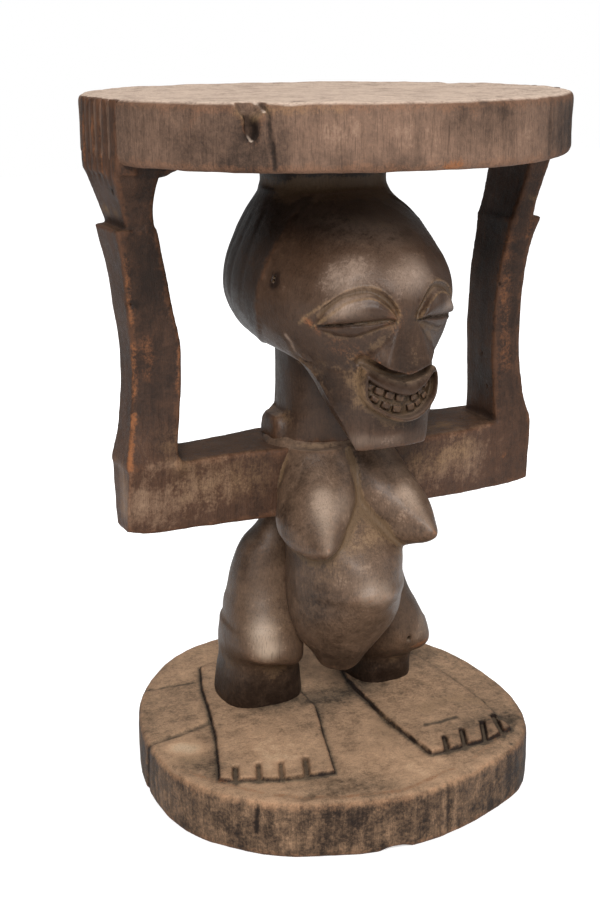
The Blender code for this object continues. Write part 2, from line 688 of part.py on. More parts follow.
def mouth_forms(group):
    """The oval lip ring, the hollow inside it, and two rows of teeth cut apart."""
    level = CHIN_LEVEL + MOUTH_RISE
    bpy.ops.mesh.primitive_torus_add(major_segments=24, minor_segments=8, major_radius=1.0,
                                     minor_radius=LIP_RADIUS / MOUTH_HALF_WIDTH)
    lips = bpy.context.object
    lips.name = "lip_ring"
    for owner in list(lips.users_collection):
        owner.objects.unlink(lips)
    group.objects.link(lips)
    lips.hide_render = True
    lips.display_type = "WIRE"
    flatten = Matrix.Diagonal((MOUTH_HALF_WIDTH, MOUTH_HALF_HEIGHT, MOUTH_HALF_WIDTH, 1.0))
    lips.data.transform(Matrix.Rotation(math.pi / 2, 4, "X") @ flatten)
    for corner in lips.data.vertices:
        corner.co.z += MOUTH_BEND * (corner.co.x / MOUTH_HALF_WIDTH) ** 2
    lips.location = (0.0, -MOUTH_REACH, level)
    hollow = ellipsoid("mouth_hollow", (0.0, -MOUTH_REACH, level),
                       (MOUTH_HALF_WIDTH, TEETH_DEPTH / 2, MOUTH_HALF_HEIGHT), group)
    teeth = ellipsoid("teeth", (0.0, -MOUTH_REACH + TEETH_SET_BACK, level),
                      (MOUTH_HALF_WIDTH * TEETH_FIT_SHARE, TEETH_DEPTH / 2,
                       MOUTH_HALF_HEIGHT * TEETH_FIT_SHARE), group)
    front = -MOUTH_REACH - CUT_OVERRUN
    back = -MOUTH_REACH + TEETH_SET_BACK - TEETH_DEPTH / 4
    boolean(teeth, block("tooth_row_gap", (-MOUTH_HALF_WIDTH, front, level - TOOTH_GAP / 2),
                         (MOUTH_HALF_WIDTH, back, level + TOOTH_GAP / 2), group))
    for column in range(1, TOOTH_COLUMNS):
        x = MOUTH_HALF_WIDTH * (2 * column / TOOTH_COLUMNS - 1)
        boolean(teeth, block(f"tooth_gap_{column}",
                             (x - TOOTH_GAP / 2, front, level - MOUTH_HALF_HEIGHT),
                             (x + TOOTH_GAP / 2, back, level + MOUTH_HALF_HEIGHT), group))
    return lips, hollow, teeth


def build_slabs(parts, cutters):
    points = disc_points(BASE_RADIUS, BASE_RADIUS_SHARES, (0.0, 0.0), DISC_SIDES)
    mesh = outline_plate("base_slab", points, 0.0, BASE_THICKNESS, parts)
    bevel(put(mesh, "base_slab", parts, FLOOR_BROWN), RIM_EDGE)
    points = disc_points(SEAT_RADIUS, SEAT_RADIUS_SHARES, (SEAT_OFF_X, SEAT_OFF_Y), DISC_SIDES)
    mesh = outline_plate("seat_slab", points, SEAT_BOTTOM, SEAT_THICKNESS, parts)
    seat = put(mesh, "seat_slab", parts, WORN_TOP)
    bevel(seat, RIM_EDGE)
    for side, name in ((-1, "right"), (1, "left")):
        boolean(seat, finger_slab(f"{name}_finger_seat", cutters, side, SEAM))


def build_foot(name, parts, cutters, outline_shares, slot_shares, turn):
    points = [(BASE_RADIUS * x, BASE_RADIUS * y) for x, y in outline_shares]
    mesh = outline_plate(name, smooth_outline(points, FORM_STEPS), FOOT_BOTTOM, FOOT_RELIEF, parts)
    foot = put(mesh, name, parts, FLOOR_BROWN)
    bevel(foot, FOOT_EDGE, 1)
    for k, (x_share, y_share) in enumerate(slot_shares):
        middle = Vector((BASE_RADIUS * x_share, BASE_RADIUS * y_share, FOOT_TOP))
        half = Vector((TOE_SLOT_WIDTH / 2, TOE_SLOT_LENGTH, FOOT_RELIEF / 2))
        boolean(foot, block(f"{name}_slot_{k}", middle - half, middle + half, cutters,
                            (0.0, 0.0, turn)))


def build_legs(parts, cutters):
    torso_cut = torso_form("torso_bed", cutters, SEAM)
    wedge_cut = wedge_form("wedge_bed", cutters, SEAM)
    sides = (("right", RIGHT_LEG_STANCE_SHARES, RIGHT_FOOT_SHARES, RIGHT_TOE_SLOT_SHARES,
              RIGHT_FOOT_TURN),
             ("left", LEFT_LEG_STANCE_SHARES, LEFT_FOOT_SHARES, LEFT_TOE_SLOT_SHARES,
              LEFT_FOOT_TURN))
    for side, stance, foot, slots, turn in sides:
        build_foot(f"{side}_foot", parts, cutters, foot, slots, turn)
        shin_form(f"{side}_shin", parts, BASE_RADIUS * stance[0], DARK_BROWN)
        thigh = thigh_form(f"{side}_thigh", parts, stance, 0.0, DARK_BROWN)
        boolean(thigh, torso_cut)
        boolean(thigh, wedge_cut)
    wedge = wedge_form("loin_wedge", parts, 0.0, BELLY_BROWN)
    boolean(wedge, torso_cut)


def build_trunk(parts, cutters):
    torso = torso_form("torso", parts, 0.0, BELLY_BROWN)
    navel_level = TORSO_BOTTOM + (TORSO_TOP - TORSO_BOTTOM) * NAVEL_RISE_SHARE
    boolean(torso, ellipsoid("navel", (0.0, -TORSO_REACH, navel_level),
                             (NAVEL_RADIUS, NAVEL_RADIUS / 2, NAVEL_RADIUS), cutters), "UNION")
    torso_cut = torso_form("torso_seat", cutters, SEAM)
    for side, name in ((-1, "right"), (1, "left")):
        arm = bar_half(f"{name}_upper_arm", parts, side, 0.0, ARM_BROWN)
        bevel(arm, BAR_EDGE, 1)
        boolean(arm, torso_cut)
        breast = breast_form(f"{name}_breast", parts, side, BELLY_BROWN)
        boolean(breast, torso_cut)
        boolean(breast, bar_half(f"{name}_arm_bed", cutters, side, SEAM))


def build_arms(parts, cutters):
    sides = ((-1, "right", RIGHT_FOREARM_SHARES, RIGHT_HAND_SHARES, RIGHT_FOREARM_HEIGHT),
             (1, "left", LEFT_FOREARM_SHARES, LEFT_HAND_SHARES, LEFT_FOREARM_HEIGHT))
    for side, name, forearm_shares, hand_shares, height in sides:
        forearm = arm_form(f"{name}_forearm", parts, forearm_rows(side, forearm_shares),
                           FOREARM_BOTTOM, height, DARK_BROWN)
        bevel(forearm, ARM_EDGE, 1)
        wrist = FOREARM_BOTTOM + height + SEAM
        hand = arm_form(f"{name}_hand", parts, hand_rows(side, hand_shares), wrist,
                        SEAT_BOTTOM - SEAM - wrist, DARK_BROWN)
        bevel(hand, ARM_EDGE, 1)
        boolean(hand, finger_slab(f"{name}_fingers", cutters, side), "UNION")
        boolean(hand, seat_bed(f"{name}_seat_bed", cutters, side))
        for k, share in enumerate(FINGER_GROOVE_SHARES):
            boolean(hand, finger_groove(f"{name}_finger_groove_{k}", cutters, side, share))


def finger_groove(name, group, side, share):
    """An upright groove between two fingers on the rim."""
    y = ARM_DEPTH * share
    bulge = SEAT_RADIUS - math.sqrt(SEAT_RADIUS ** 2 - (y - SEAT_OFF_Y) ** 2)
    inner = rim_x(side) - side * (bulge + FINGER_GROOVE_DEPTH - FINGER_PROUD)
    outer = rim_x(side) + side * CUT_OVERRUN
    low = (min(inner, outer), y - FINGER_GROOVE_WIDTH / 2, SEAT_TOP - FINGER_GROOVE_LENGTH)
    high = (max(inner, outer), y + FINGER_GROOVE_WIDTH / 2, SEAT_TOP + CUT_OVERRUN)
    return block(name, low, high, group)


def seat_bed(name, group, side):
    """Room for the seat above the palm, inside the fingers."""
    inner = SEAT_OFF_X
    outer = rim_x(side) - side * FINGER_THICKNESS
    low = (min(inner, outer), -SEAT_RADIUS, SEAT_BOTTOM - SEAM)
    high = (max(inner, outer), SEAT_RADIUS, SEAT_TOP + CUT_OVERRUN)
    return block(name, low, high, group)


def build_head(parts, cutters):
    head = head_form("head", parts, HEAD_SIDES, 0.0, SKIN_BROWN)
    boolean(head, hairline_cutter("hair_side", cutters, False, -SEAM / 2))
    lids, slits = eye_forms(cutters)
    lips, hollow, teeth = mouth_forms(cutters)
    for lid in lids:
        boolean(head, lid, "UNION")
    boolean(head, nose_form("nose", cutters), "UNION")
    boolean(head, lips, "UNION")
    for cutter in slits + [hollow]:
        boolean(head, cutter)
    boolean(head, teeth, "UNION")
    hair = head_form("coiffure", parts, HAIR_SIDES, HAIR_RELIEF, DARK_BROWN,
                     HAIR_GROOVE_DEPTH, HAIR_GROOVES)
    boolean(hair, hairline_cutter("face_side", cutters, True, -SEAM / 2))
    top = block("pad_room", (-SEAT_RADIUS, -SEAT_RADIUS, HEAD_TOP),
                (SEAT_RADIUS, SEAT_RADIUS, SEAT_TOP), cutters)
    boolean(hair, top)


def build_neck_and_pad(parts, cutters):
    ring_sizes = (-NECK_RADIUS + NECK_SET_BACK, NECK_SET_BACK, NECK_RADIUS + NECK_SET_BACK,
                  NECK_RADIUS, ROUND_POWERS, FORM_SIDES)
    neck_top = CHIN_LEVEL + HEAD_HEIGHT * HEAD_SHARES[8][0]
    rings = [egg_ring(level, 0.0, *ring_sizes) for level in (TORSO_TOP + SEAM, neck_top)]
    neck = loft("neck", rings, parts, ARM_BROWN)
    boolean(neck, head_form("head_bed", cutters, HEAD_SIDES, HAIR_RELIEF + SEAM))
    pad_sizes = (PAD_SET_BACK - PAD_RADIUS, PAD_SET_BACK, PAD_SET_BACK + PAD_RADIUS,
                 PAD_RADIUS, PAD_POWERS, FORM_SIDES)
    levels = (HEAD_TOP + SEAM, SEAT_BOTTOM - SEAM)
    loft("head_pad", [egg_ring(level, 0.0, *pad_sizes) for level in levels], parts, DARK_BROWN)


def main():
    for thing in list(bpy.data.objects):
        bpy.data.objects.remove(thing)
    parts = collection("songye_stool")
    cutters = collection("cutters")
    build_slabs(parts, cutters)
    build_legs(parts, cutters)
    build_trunk(parts, cutters)
    build_arms(parts, cutters)
    build_head(parts, cutters)
    build_neck_and_pad(parts, cutters)


main()
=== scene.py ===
"""Dressed model of a carved caryatid stool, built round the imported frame.

The stool is one block of wood, so each carved member is worked as clay: distances are
sampled in a block of space, forms are added and cut with soft or sharp joins, and a skin
is laid over the result. Metres, +Z up; the figure faces -Y and its right side is at -X.
Tables of places are shares of the frame's own boxes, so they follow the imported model.
"""

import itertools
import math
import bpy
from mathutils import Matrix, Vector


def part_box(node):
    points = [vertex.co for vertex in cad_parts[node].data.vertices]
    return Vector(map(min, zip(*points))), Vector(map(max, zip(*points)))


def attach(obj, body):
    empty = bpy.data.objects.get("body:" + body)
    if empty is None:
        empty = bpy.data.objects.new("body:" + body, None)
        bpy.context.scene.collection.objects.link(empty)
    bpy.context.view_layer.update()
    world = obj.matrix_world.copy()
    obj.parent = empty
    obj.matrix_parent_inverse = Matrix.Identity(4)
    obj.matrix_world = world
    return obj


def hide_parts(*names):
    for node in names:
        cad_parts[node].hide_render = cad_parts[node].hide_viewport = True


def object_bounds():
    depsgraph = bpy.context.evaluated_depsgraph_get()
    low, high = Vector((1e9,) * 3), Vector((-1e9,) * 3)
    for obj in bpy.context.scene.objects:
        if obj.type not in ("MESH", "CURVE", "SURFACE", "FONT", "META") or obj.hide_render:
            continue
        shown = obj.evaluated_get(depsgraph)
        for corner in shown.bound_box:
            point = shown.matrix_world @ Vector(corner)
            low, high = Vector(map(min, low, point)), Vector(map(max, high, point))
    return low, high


bl_info = {
    "name": "Carved caryatid stool",
    "version": (1, 0, 0),
    "blender": (4, 5, 0),
    "location": "3D View > Sidebar > Stool",
    "description": "Carves the members of a caryatid stool, dresses the wood and sets the studio",
    "category": "Add Mesh",
}

import bpy
import numpy as np
from bpy.props import FloatProperty, FloatVectorProperty, PointerProperty
from bpy.types import Operator, Panel, PropertyGroup
from mathutils import Matrix, Vector

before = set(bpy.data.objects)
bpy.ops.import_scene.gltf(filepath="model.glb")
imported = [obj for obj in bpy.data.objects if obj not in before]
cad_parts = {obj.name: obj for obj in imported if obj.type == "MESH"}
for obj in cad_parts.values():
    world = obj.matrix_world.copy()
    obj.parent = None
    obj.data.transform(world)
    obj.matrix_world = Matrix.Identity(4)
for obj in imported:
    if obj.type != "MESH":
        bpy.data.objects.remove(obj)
CAD_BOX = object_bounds()


def node_span(*nodes):
    """Lowest and highest corner round one or more nodes of the frame."""
    corners = [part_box(node) for node in nodes]
    low = [min(box[0][axis] for box in corners) for axis in range(3)]
    high = [max(box[1][axis] for box in corners) for axis in range(3)]
    return low, high


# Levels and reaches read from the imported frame
BASE_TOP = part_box("base_slab")[1][2]
SEAT_LOW, SEAT_HIGH = node_span("seat_slab")
HEAD_LOW, HEAD_HIGH = node_span("head", "coiffure")
TRUNK_LOW, TRUNK_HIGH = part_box("torso")
BAR_LOW, BAR_HIGH = node_span("right_upper_arm", "left_upper_arm")

# Values of the carving, in metres unless the name says otherwise

EMPTY = 1.0
LEAST_SLOPE = 0.3
LEAST_GAP = 0.0008
LEAST_BLEND = 0.000001
LEAST_LENGTH = 1e-12
SECTION_STEPS = 8
FACE_STEPS = 4
LINE_STEPS = 3
SPARE = 0.006
HIDDEN = 0.004

# Spacing of the samples: on the face, on the limbs and on the broad slabs
FINE = 0.0008
LIMB = 0.0013
COARSE = 0.002
BROAD = 0.0018
MOUTH_FINE = 0.00055
MOUTH_HALF = 0.029
MOUTH_LEVELS = (0.013, 0.049)
MOUTH_DEPTH = 0.016

PAD_POWERS = (2.3, 2.3)
NECK_POWERS = (2.2, 2.2)
SHIN_POWERS = (2.9, 2.7)
PAD_SHARES = ((0.0, -1.0, 0.0, 1.0, 0.94), (0.5, -1.0, 0.0, 1.0, 0.96), (1.0, -1.02, 0.0, 1.02, 1.0))
NECK_SHARES = ((0.0, -0.9, 0.0, 1.2, 1.2), (0.12, -0.92, 0.0, 1.14, 1.14), (0.2, -0.95, 0.0, 1.08, 1.08),
               (0.3, -0.98, 0.0, 1.05, 1.04), (0.4, -1.0, 0.0, 1.0, 1.0), (1.0, -1.0, 0.0, 1.0, 1.0))
# A block left standing behind the neck: level over the trunk, front, widest, back, half
# width, powers and middle
NECK_BLOCK = ((-0.006, 0.0, 0.012, 0.026, 0.0112, 4.0, 4.0, -0.0292),
              (0.004, 0.001, 0.012, 0.025, 0.0108, 4.0, 4.0, -0.029),
              (0.0085, 0.004, 0.012, 0.022, 0.0085, 4.0, 4.0, -0.03))
PAD_SET_BACK_SHARE = 0.353
NECK_SET_BACK_SHARE = 0.323


def length(name, description, default, **limits):
    return FloatProperty(name=name, description=description, default=default, unit="LENGTH", **limits)


class StoolSizes(PropertyGroup):
    """Sizes of the carving that a user may change."""
    base_radius: length("Base radius", "Mean radius of the base", 0.1306, min=0.12, max=0.14)
    seat_radius: length("Seat radius", "Mean radius of the seat", 0.1465, min=0.13, max=0.15)
    seat_off_x: length("Seat offset across", "Middle of the seat, across", -0.0035)
    seat_off_y: length("Seat offset back", "Middle of the seat, front to back", 0.0033)
    rim_edge: length("Rim edge", "Rounding of the worn rims of seat and base", 0.0034, min=0.001, max=0.008)
    finger_groove: length("Finger groove", "Depth of the grooves between fingers", 0.0021,
                          min=0.0, max=0.004)
    finger_reach: length("Finger reach", "Thickness of the fingers on the rim", 0.01, min=0.005, max=0.02)
    foot_relief: length("Foot relief", "Height of the feet over the base", 0.0032, min=0.001, max=0.006)
    toe_slot: length("Toe slot", "Half width of the slots between the toes", 0.0017, min=0.0005, max=0.003)
    thigh_half_width: length("Thigh half width", "Half width of a thigh", 0.0235)
    thigh_reach: length("Thigh reach", "Reach of a thigh from the middle", 0.054)
    torso_half_width: length("Torso half width", "Half width of the torso", 0.044)
    torso_reach: length("Torso reach", "Reach of the belly from the middle", 0.069)
    breast_half_width: length("Breast half width", "Half width of a breast", 0.0245)
    breast_reach: length("Breast reach", "Reach of a breast from the middle", 0.071)
    breast_spread: length("Breast spread", "Middle of a breast, across", 0.0258)
    bar_half_length: length("Arm bar half length", "Middle to end of the arm bar", 0.1408)
    arm_depth: length("Arm depth", "Depth that the arm sections are shares of", 0.037)
    arm_edge: length("Arm edge", "Softness of the arms' long edges", 0.0024, min=0.001, max=0.01)
    neck_radius: length("Neck radius", "Radius of the neck", 0.031)
    pad_radius: length("Crown block radius", "Radius of the block on the head", 0.0388)
    pad_blend: length("Crown block blend", "Sweep of the crown into its block", 0.005, min=0.0, max=0.02)
    head_half_width: length("Head half width", "Half width of the head", 0.067)
    head_half_length: length("Head half length", "Length the face is a share of", 0.092)
    hair_rise: length("Hair rise", "Step of the coiffure over the face", 0.0018, min=0.0, max=0.004)
    hair_groove: length("Hair groove", "Depth of the coiffure's grooves", 0.0007, min=0.0, max=0.003)
    lid_bulge: length("Lid bulge", "Fullness of the heavy upper lids", 0.004, min=0.0, max=0.006)
    lid_slit: length("Lid slit", "Depth of the slit between the lids", 0.0024, min=0.0, max=0.005)
    muzzle_rise: length("Muzzle rise", "How far the lips stand before the head", 0.0015,
                        min=-0.004, max=0.006)
    teeth_recess: length("Teeth recess", "Depth of the open mouth", 0.006, min=0.0, max=0.01)
    tool_marks: length("Tool marks", "Depth of the adze facets", 0.00045, min=0.0, max=0.002)
    tool_size: length("Tool size", "Distance between the adze facets", 0.0105, min=0.004, max=0.03)


HEAD_HEIGHT = HEAD_HIGH[2] - HEAD_LOW[2]

# Face
HEAD_ROOM = 1.13
FACE_HALF = 0.052
EAR_AT = (0.062, -0.046, -0.036)
FACE_DEPTH = 0.044
FACE_RISE = 0.1
FACE_FADE_START = 0.057
FACE_FADE_END = 0.042
HAIR_FRONT = -0.02
LID_TAPER = 0.0022
LID_START = 0.1
LID_SPAN = 0.76
RIM_RISE = 0.0006
RIM_WIDTH = 0.0008
BROW_HOLLOW = 0.0021
BROW_RISE = 0.0007
BROW_WIDTH = 0.0024
LOWER_LID_BULGE = 0.002
LOWER_LID_POWER = 0.6
CREASE_WIDTH = 0.0016
CREASE_DEPTH = 0.0007
SLIT_HALF_WIDTH = 0.0008
MUZZLE_FLARE = 0.003
LIP_BEND = 0.0088
LIP_BEND_SHARE = 0.39
LIP_SLOPE = 0.75
LIP_ROUND = 0.001
OPENING_EDGE = 0.0004
TEETH_SET_BACK = 0.003
TOOTH_HALF = 0.0025
LIP_FULL = 0.0015
TOOTH_POWER = 8
LIP_ROLL = 0.0004
LIP_ROLL_WIDTH = 0.0011
TOOTH_SQUAT = 0.78
TOOTH_UNEVEN = (0.86, 1.0, 1.08, 1.04, 0.92, 0.84, 0.86, 0.8)
TOOTH_ROUND = 0.0006
NOSE_DEPTH_SHARES = (1.076, 1.058, 0.955, 1.048, 0.87)
NOSE_UNDERCUT = 0.005
NOSE_SOFTNESS = 0.0014
NOSE_BLEND = 0.0022
NOSE_LOWEST = -0.35
NOSE_HIGHEST = 1.2
NOSE_SPARE = 0.001
NOSE_SHOULDER = 0.005
CAVITY_WIDTH = 0.003
CAVITY_DEPTH = 0.0032
JAW_WIDTH = 0.0018
JAW_RISE = 0.0016

# Coiffure, neck and crown block
HAIR_EDGE = 0.0005
HAIR_SWEEP = 0.012
HAIR_SINK_SHARE = 0.35
HAIR_CENTRE_SHARE = 0.22
HAIR_GROOVES = 22
HAIR_GROOVE_BACK = 0.012
HAIR_GROOVE_SHARE = 0.11
HAIR_GROOVE_LOW = HEAD_LOW[2] + HEAD_HEIGHT * 0.36
HAIR_GROOVE_HIGH = HEAD_LOW[2] + HEAD_HEIGHT * 0.84
NECK_SUNK = 0.01
NECK_BLEND = 0.006
PAD_SUNK = 0.016
SEAT_SUNK = 0.002
SEAT_CUT = 0.0015

# Trunk and legs
BREAST_LOW = TRUNK_HIGH[2] - 0.076
BREAST_HEIGHT = 0.0675
BREAST_ROOT_SHARE = 0.42
BREAST_SPLAY = 0.24
BREAST_SPREAD_SHARES = (1.01, 1.05, 1.07, 1.06, 1.03, 0.96, 0.83, 0.72, 0.64, 0.6)
BREAST_BLEND = 0.0018
BLOCK_BLEND = 0.0045
WEDGE_DROP = 0.0155
WEDGE_LAP = 0.012
WEDGE_REACH = 0.04
WEDGE_HALF = 0.03
WEDGE_BLEND = 0.004
WEDGE_MIDDLES = (-0.001, -0.001, -0.001, -0.001, 0.0)
NAVEL_RISE_SHARE = 0.36
NAVEL_LINE = ((-0.014, 0.0), (-0.003, 0.003), (0.01, 0.001))
NAVEL_PINCH = 0.0014
BELLY_POWER = 1.7
BELLY_SPAN = 0.13
THIGH_FRONT = 0.018
THIGH_BACK = 0.07
KNEE_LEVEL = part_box("right_thigh")[0][2]
THIGH_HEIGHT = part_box("right_thigh")[1][2] - KNEE_LEVEL
KNEE_CREASE = 0.0105
KNEE_EDGE = 0.0095
KNEE_LAP = 0.01
CALF_BLEND = 0.008
CALF_BACK = (-0.012, 0.02)
CALF_OUT = (-0.2, 0.9)
SHIN_LEAN = 0.009

# Arms and hands
BAR_INNER = 0.014
ARM_ROOM = 1.4
WRIST_ROOM = 0.01
FOREARM_FILLET = 0.009
FILLET_SHARES = (0.77, 0.81)
WRIST_FILLET = 0.003
# Torn edge under the right hand: middle and radii in millimetres
JAGS = (
    ((-119, -20, 400), (8.5, 10, 5)), ((-122, -13, 393.5), (5, 8, 5)), ((-113, -25, 402), (6, 6, 3.6)),
)
FINGER_PROUD = 0.0008
FINGER_TOP_GAP = 0.0008
FINGER_TIP = 0.0004
FINGER_EDGE = 0.001
FINGER_SKIN = (0.004, 0.008)
FINGER_DROP = 0.0045
FINGER_GROOVE_WIDTH = 0.0017
FINGER_GROOVE_DROP = 0.016

# Seat and base
SEAT_ROOM = 1.05
BASE_ROOM = 1.11
TOP_ROUNDING = 1.6
LOW_ROUNDING = 1.4
SEAT_DISH = 0.0012
SKIN_ROOM = 0.0003
FOOT_EDGE = 0.0005
SEAT_FINE_X = [(-0.106, -0.086, 0.0009)]
SEAT_FINE_Y = [(-0.16, -0.085, 0.0014)]
BASE_FINE_X = [(-0.14, 0.096, 0.0013)]
BASE_FINE_Y = [(-0.14, 0.004, 0.0013)]
BASE_FINE_Z = [(BASE_TOP - 0.003, BASE_TOP + SPARE, 0.001)]
CHIP_EDGE = 0.0012
HOLE_TAPER = 0.8

# Dust, painted shadow and painted shade, and a darker base side: widths, levels and amounts
FACE_LINES = ((0.0008, 0.5), (0.0013, 0.4), (0.001, 0.25), (0.0013, 0.4))
SLIT_SHADE = 1.1
TEETH_SHADE_SHARE = 0.8
TEETH_DUST = 0.22
FOOT_LINE_WIDTH = 0.0012
SLOT_SHADE = 0.9
CROWN_SHADOW = 1.2
CROWN_SHADOW_LEVELS = (0.35, 0.382)
HAIR_SHADE = 0.55
SHIN_SHADE = 0.6
SHIN_SHADE_LEVELS = (0.05, 0.088)
BASE_SIDE_DARKENING = 0.5
CRACK_SHADE = 0.8
CRACK_SHADE_SPREAD = 1.3
FOOT_LINE_SHADE = 0.9

# Wear, wood and studio
WEAR_ROUNDS = (8, 60)
WEAR_SCALES = (0.0004, 0.0012)
WEAR_EASING = (2, 3)
CELL_PRIMES = (73856093, 19349663, 83492791)
SEED_PRIME = 2654435761
MIXING_PRIME = 2246822519
SKIN_EASING = 0.7
TOOL_STRETCH = 0.7
CUT_MIDDLE = 0.62
LUMP_SHARE = 0.8
LUMP_SIZE = 0.02
BUMP_DEPTH = 0.0008
PORE_SCALE = (1300.0, 1300.0, 110.0)
YEAR_LINE_SCALE = (150.0, 150.0, 9.0)
CHECK_SCALE = (420.0, 420.0, 22.0)
GRAIN_WANDER = 0.012
# Clouds, patches and specks: scale, detail and roughness
MOTTLES = ((34.0, 6.0, 0.7), (120.0, 6.0, 0.72), (520.0, 4.0, 0.75))
# The first mark holds the wood's tone together with painted highlights, painted shadow and painted shade
MARK_NAMES = ("tone_and_painted_light", "rubbed", "dusty")
WHITE = (1.0, 1.0, 1.0, 1.0)
SPECULAR_LEVEL = 0.17
COAT_ROUGHNESS = 0.3
SENSOR_HEIGHT = 36.0
CAMERA_LENS = 57.116
CAMERA_PLACE = (-0.38765, -0.78822, 0.47569)
CAMERA_AIM = (0.40274, 0.87016, -0.28395)
CAMERA_ROLL = -0.0068
CAMERA_CLIP = (0.05, 20.0)
FLOOR_HALF = 4.0
FLOOR_ROUGHNESS = 0.9
FLOOR_GLOW = (0.25, 0.9, 0.4, 0.85)
WORLD_LEVEL = 0.29
# Lamps: name, place, size and power, all aimed at the middle of the stool
LAMP_TARGET = (0.0, 0.0, 0.2)
LAMPS = (
    ("key_light", (-0.75, -1.5, 1.25), 0.7, 41.0),
    ("fill_light", (1.4, -0.9, 0.9), 1.0, 8.0),
    ("top_light", (0.1, 0.2, 1.9), 1.2, 17.0),
)


# Clay: forms as sampled distances

def smooth_min(one, other, blend):
    """The lesser of two fields, run together over a width where they are close."""
    blend = np.maximum(blend, LEAST_BLEND)
    near = np.maximum(blend - np.abs(one - other), 0) / blend
    return np.minimum(one, other) - near * near * blend / 4


def smooth_max(one, other, blend):
    """The greater of two fields, run together in the same way."""
    return -smooth_min(-one, -other, blend)


def ease(value, start, end):
    """0 before the start, 1 after the end, and a soft rise between them."""
    t = np.clip((value - start) / (end - start), 0, 1)
    return t * t * (3 - 2 * t)


def samples(low, high, step, fine=()):
    """Sample places along an axis, closer together inside each fine stretch."""
    places = [low]
    while places[-1] < high:
        here = places[-1]
        places.append(here + min([s for a, b, s in fine if a <= here < b], default=step))
    return np.array(places, np.float32)


class Clay:
    """A block of sampled space, with wood wherever its field is negative."""

    def __init__(self, axes, field=None):
        self.axes = axes
        self.x, self.y, self.z = np.meshgrid(*axes, indexing="ij", sparse=True)
        if field is None:
            field = np.full([len(axis) for axis in axes], EMPTY, np.float32)
        self.field = field

    def part(self, low, high):
        """The stretch between two corners, which shares the block's field."""
        cuts = [slice(*np.searchsorted(axis, ends)) for axis, *ends in zip(self.axes, low, high)]
        return Clay([axis[cut] for axis, cut in zip(self.axes, cuts)], self.field[tuple(cuts)])

    def add(self, form, blend=0.0):
        self.field[...] = smooth_min(self.field, form, blend)

    def cut(self, form, blend=0.0):
        self.field[...] = smooth_max(self.field, -form, blend)

    def keep(self, form, blend):
        """Keep only the wood inside a form."""
        self.field[...] = smooth_max(self.field, form, blend)

    def swell(self, height):
        """Raise the skin by a height, or sink it where the height is negative."""
        self.field -= height


def true_distance(clay, form):
    """A form's values over their own slope, which are distances near its skin."""
    slopes = np.gradient(form, *clay.axes)
    return form / np.maximum(np.sqrt(sum(slope * slope for slope in slopes)), LEAST_SLOPE)


def blend_values(a, b, c, d, t):
    """Catmull-Rom value between b and c."""
    return 0.5 * (2 * b + (c - a) * t + (2 * a - 5 * b + 4 * c - d) * t * t
                  + (3 * b - a - 3 * c + d) * t ** 3)


def refined(rows, steps, closed=False):
    """The same rows with smooth ones added between them."""
    count = len(rows)
    out = []
    for i in range(count if closed else count - 1):
        places = [i - 1, i, i + 1, i + 2]
        near = [rows[k % count] if closed else rows[min(max(k, 0), count - 1)] for k in places]
        for step in range(steps):
            out.append(tuple(blend_values(*values, step / steps) for values in zip(*near)))
    return out if closed else out + [tuple(rows[-1])]


def sections(table, bottom, height, reach, half_width, powers=(2.0, 2.0), middles=None):
    """Egg sections in metres, from rows of shares with or without powers of their own."""
    rows = []
    for k, (level, front, widest, back, half, *own) in enumerate(table):
        middle = middles[k] if middles else 0.0
        rows.append((bottom + height * level, reach * front, reach * widest, reach * back,
                     half_width * half, *(own or powers), middle))
    return np.array(refined(rows, SECTION_STEPS))


def egg_column(clay, rows):
    """An upright form whose level sections are eggs with their own front and back."""
    level, *columns = rows.T
    front, widest, back, half, front_power, back_power, middle = (
        np.interp(clay.z, level, column).astype(np.float32) for column in columns)
    ahead = clay.y < widest
    depth = np.where(ahead, widest - front, back - widest)
    power = np.where(ahead, front_power, back_power)
    across = np.abs(clay.x - middle) / half
    along = np.abs(clay.y - widest) / depth
    rim = (across ** power + along ** power) ** (1 / power)
    side = true_distance(clay, (rim - 1) * np.float32(columns[3].mean()))
    return np.maximum(side, np.maximum(level[0] - clay.z, clay.z - level[-1]))


def quad_column(clay, rows, rounding):
    """A four-sided form along an axis of its own; rows hold its place and its corners."""
    level, *corners = rows.T
    at = [np.interp(clay.z, level, column).astype(np.float32) for column in corners]
    corner = list(zip(at[::2], at[1::2]))
    walls = -EMPTY
    for (ax, ay), (bx, by) in zip(corner, corner[1:] + corner[:1]):
        run = np.hypot(bx - ax, by - ay)
        side = ((clay.x - ax) * (by - ay) - (clay.y - ay) * (bx - ax)) / run
        walls = smooth_max(walls, side, rounding)
    return np.maximum(walls, np.maximum(level[0] - clay.z, clay.z - level[-1]))


def ball(clay, centre, radii):
    """An ellipsoid."""
    offsets = [clay.x - centre[0], clay.y - centre[1], clay.z - centre[2]]
    near = np.sqrt(sum((offset / r) ** 2 for offset, r in zip(offsets, radii)))
    slope = np.sqrt(sum((offset / r ** 2) ** 2 for offset, r in zip(offsets, radii)))
    return near * (near - 1) / np.maximum(slope, LEAST_SLOPE)


def rod(clay, start, end, start_radius=0.0, end_radius=0.0):
    """A round rod between two places, with a radius at each end."""
    way = Vector(end) - Vector(start)
    offsets = [clay.x - start[0], clay.y - start[1], clay.z - start[2]]
    t = np.clip(sum(o * w for o, w in zip(offsets, way)) / way.length_squared, 0, 1)
    gaps = [offset - t * part for offset, part in zip(offsets, way)]
    return np.sqrt(sum(gap * gap for gap in gaps)) - (start_radius + t * (end_radius - start_radius))


def stroke(clay, points):
    """Distance from a line of places."""
    return np.minimum.reduce([rod(clay, start, end) for start, end in zip(points, points[1:])])


def wall(clay, point, normal):
    """Distance in front of a plane."""
    normal = Vector(normal).normalized()
    return sum((axis - p) * n for axis, p, n in zip((clay.x, clay.y, clay.z), point, normal))


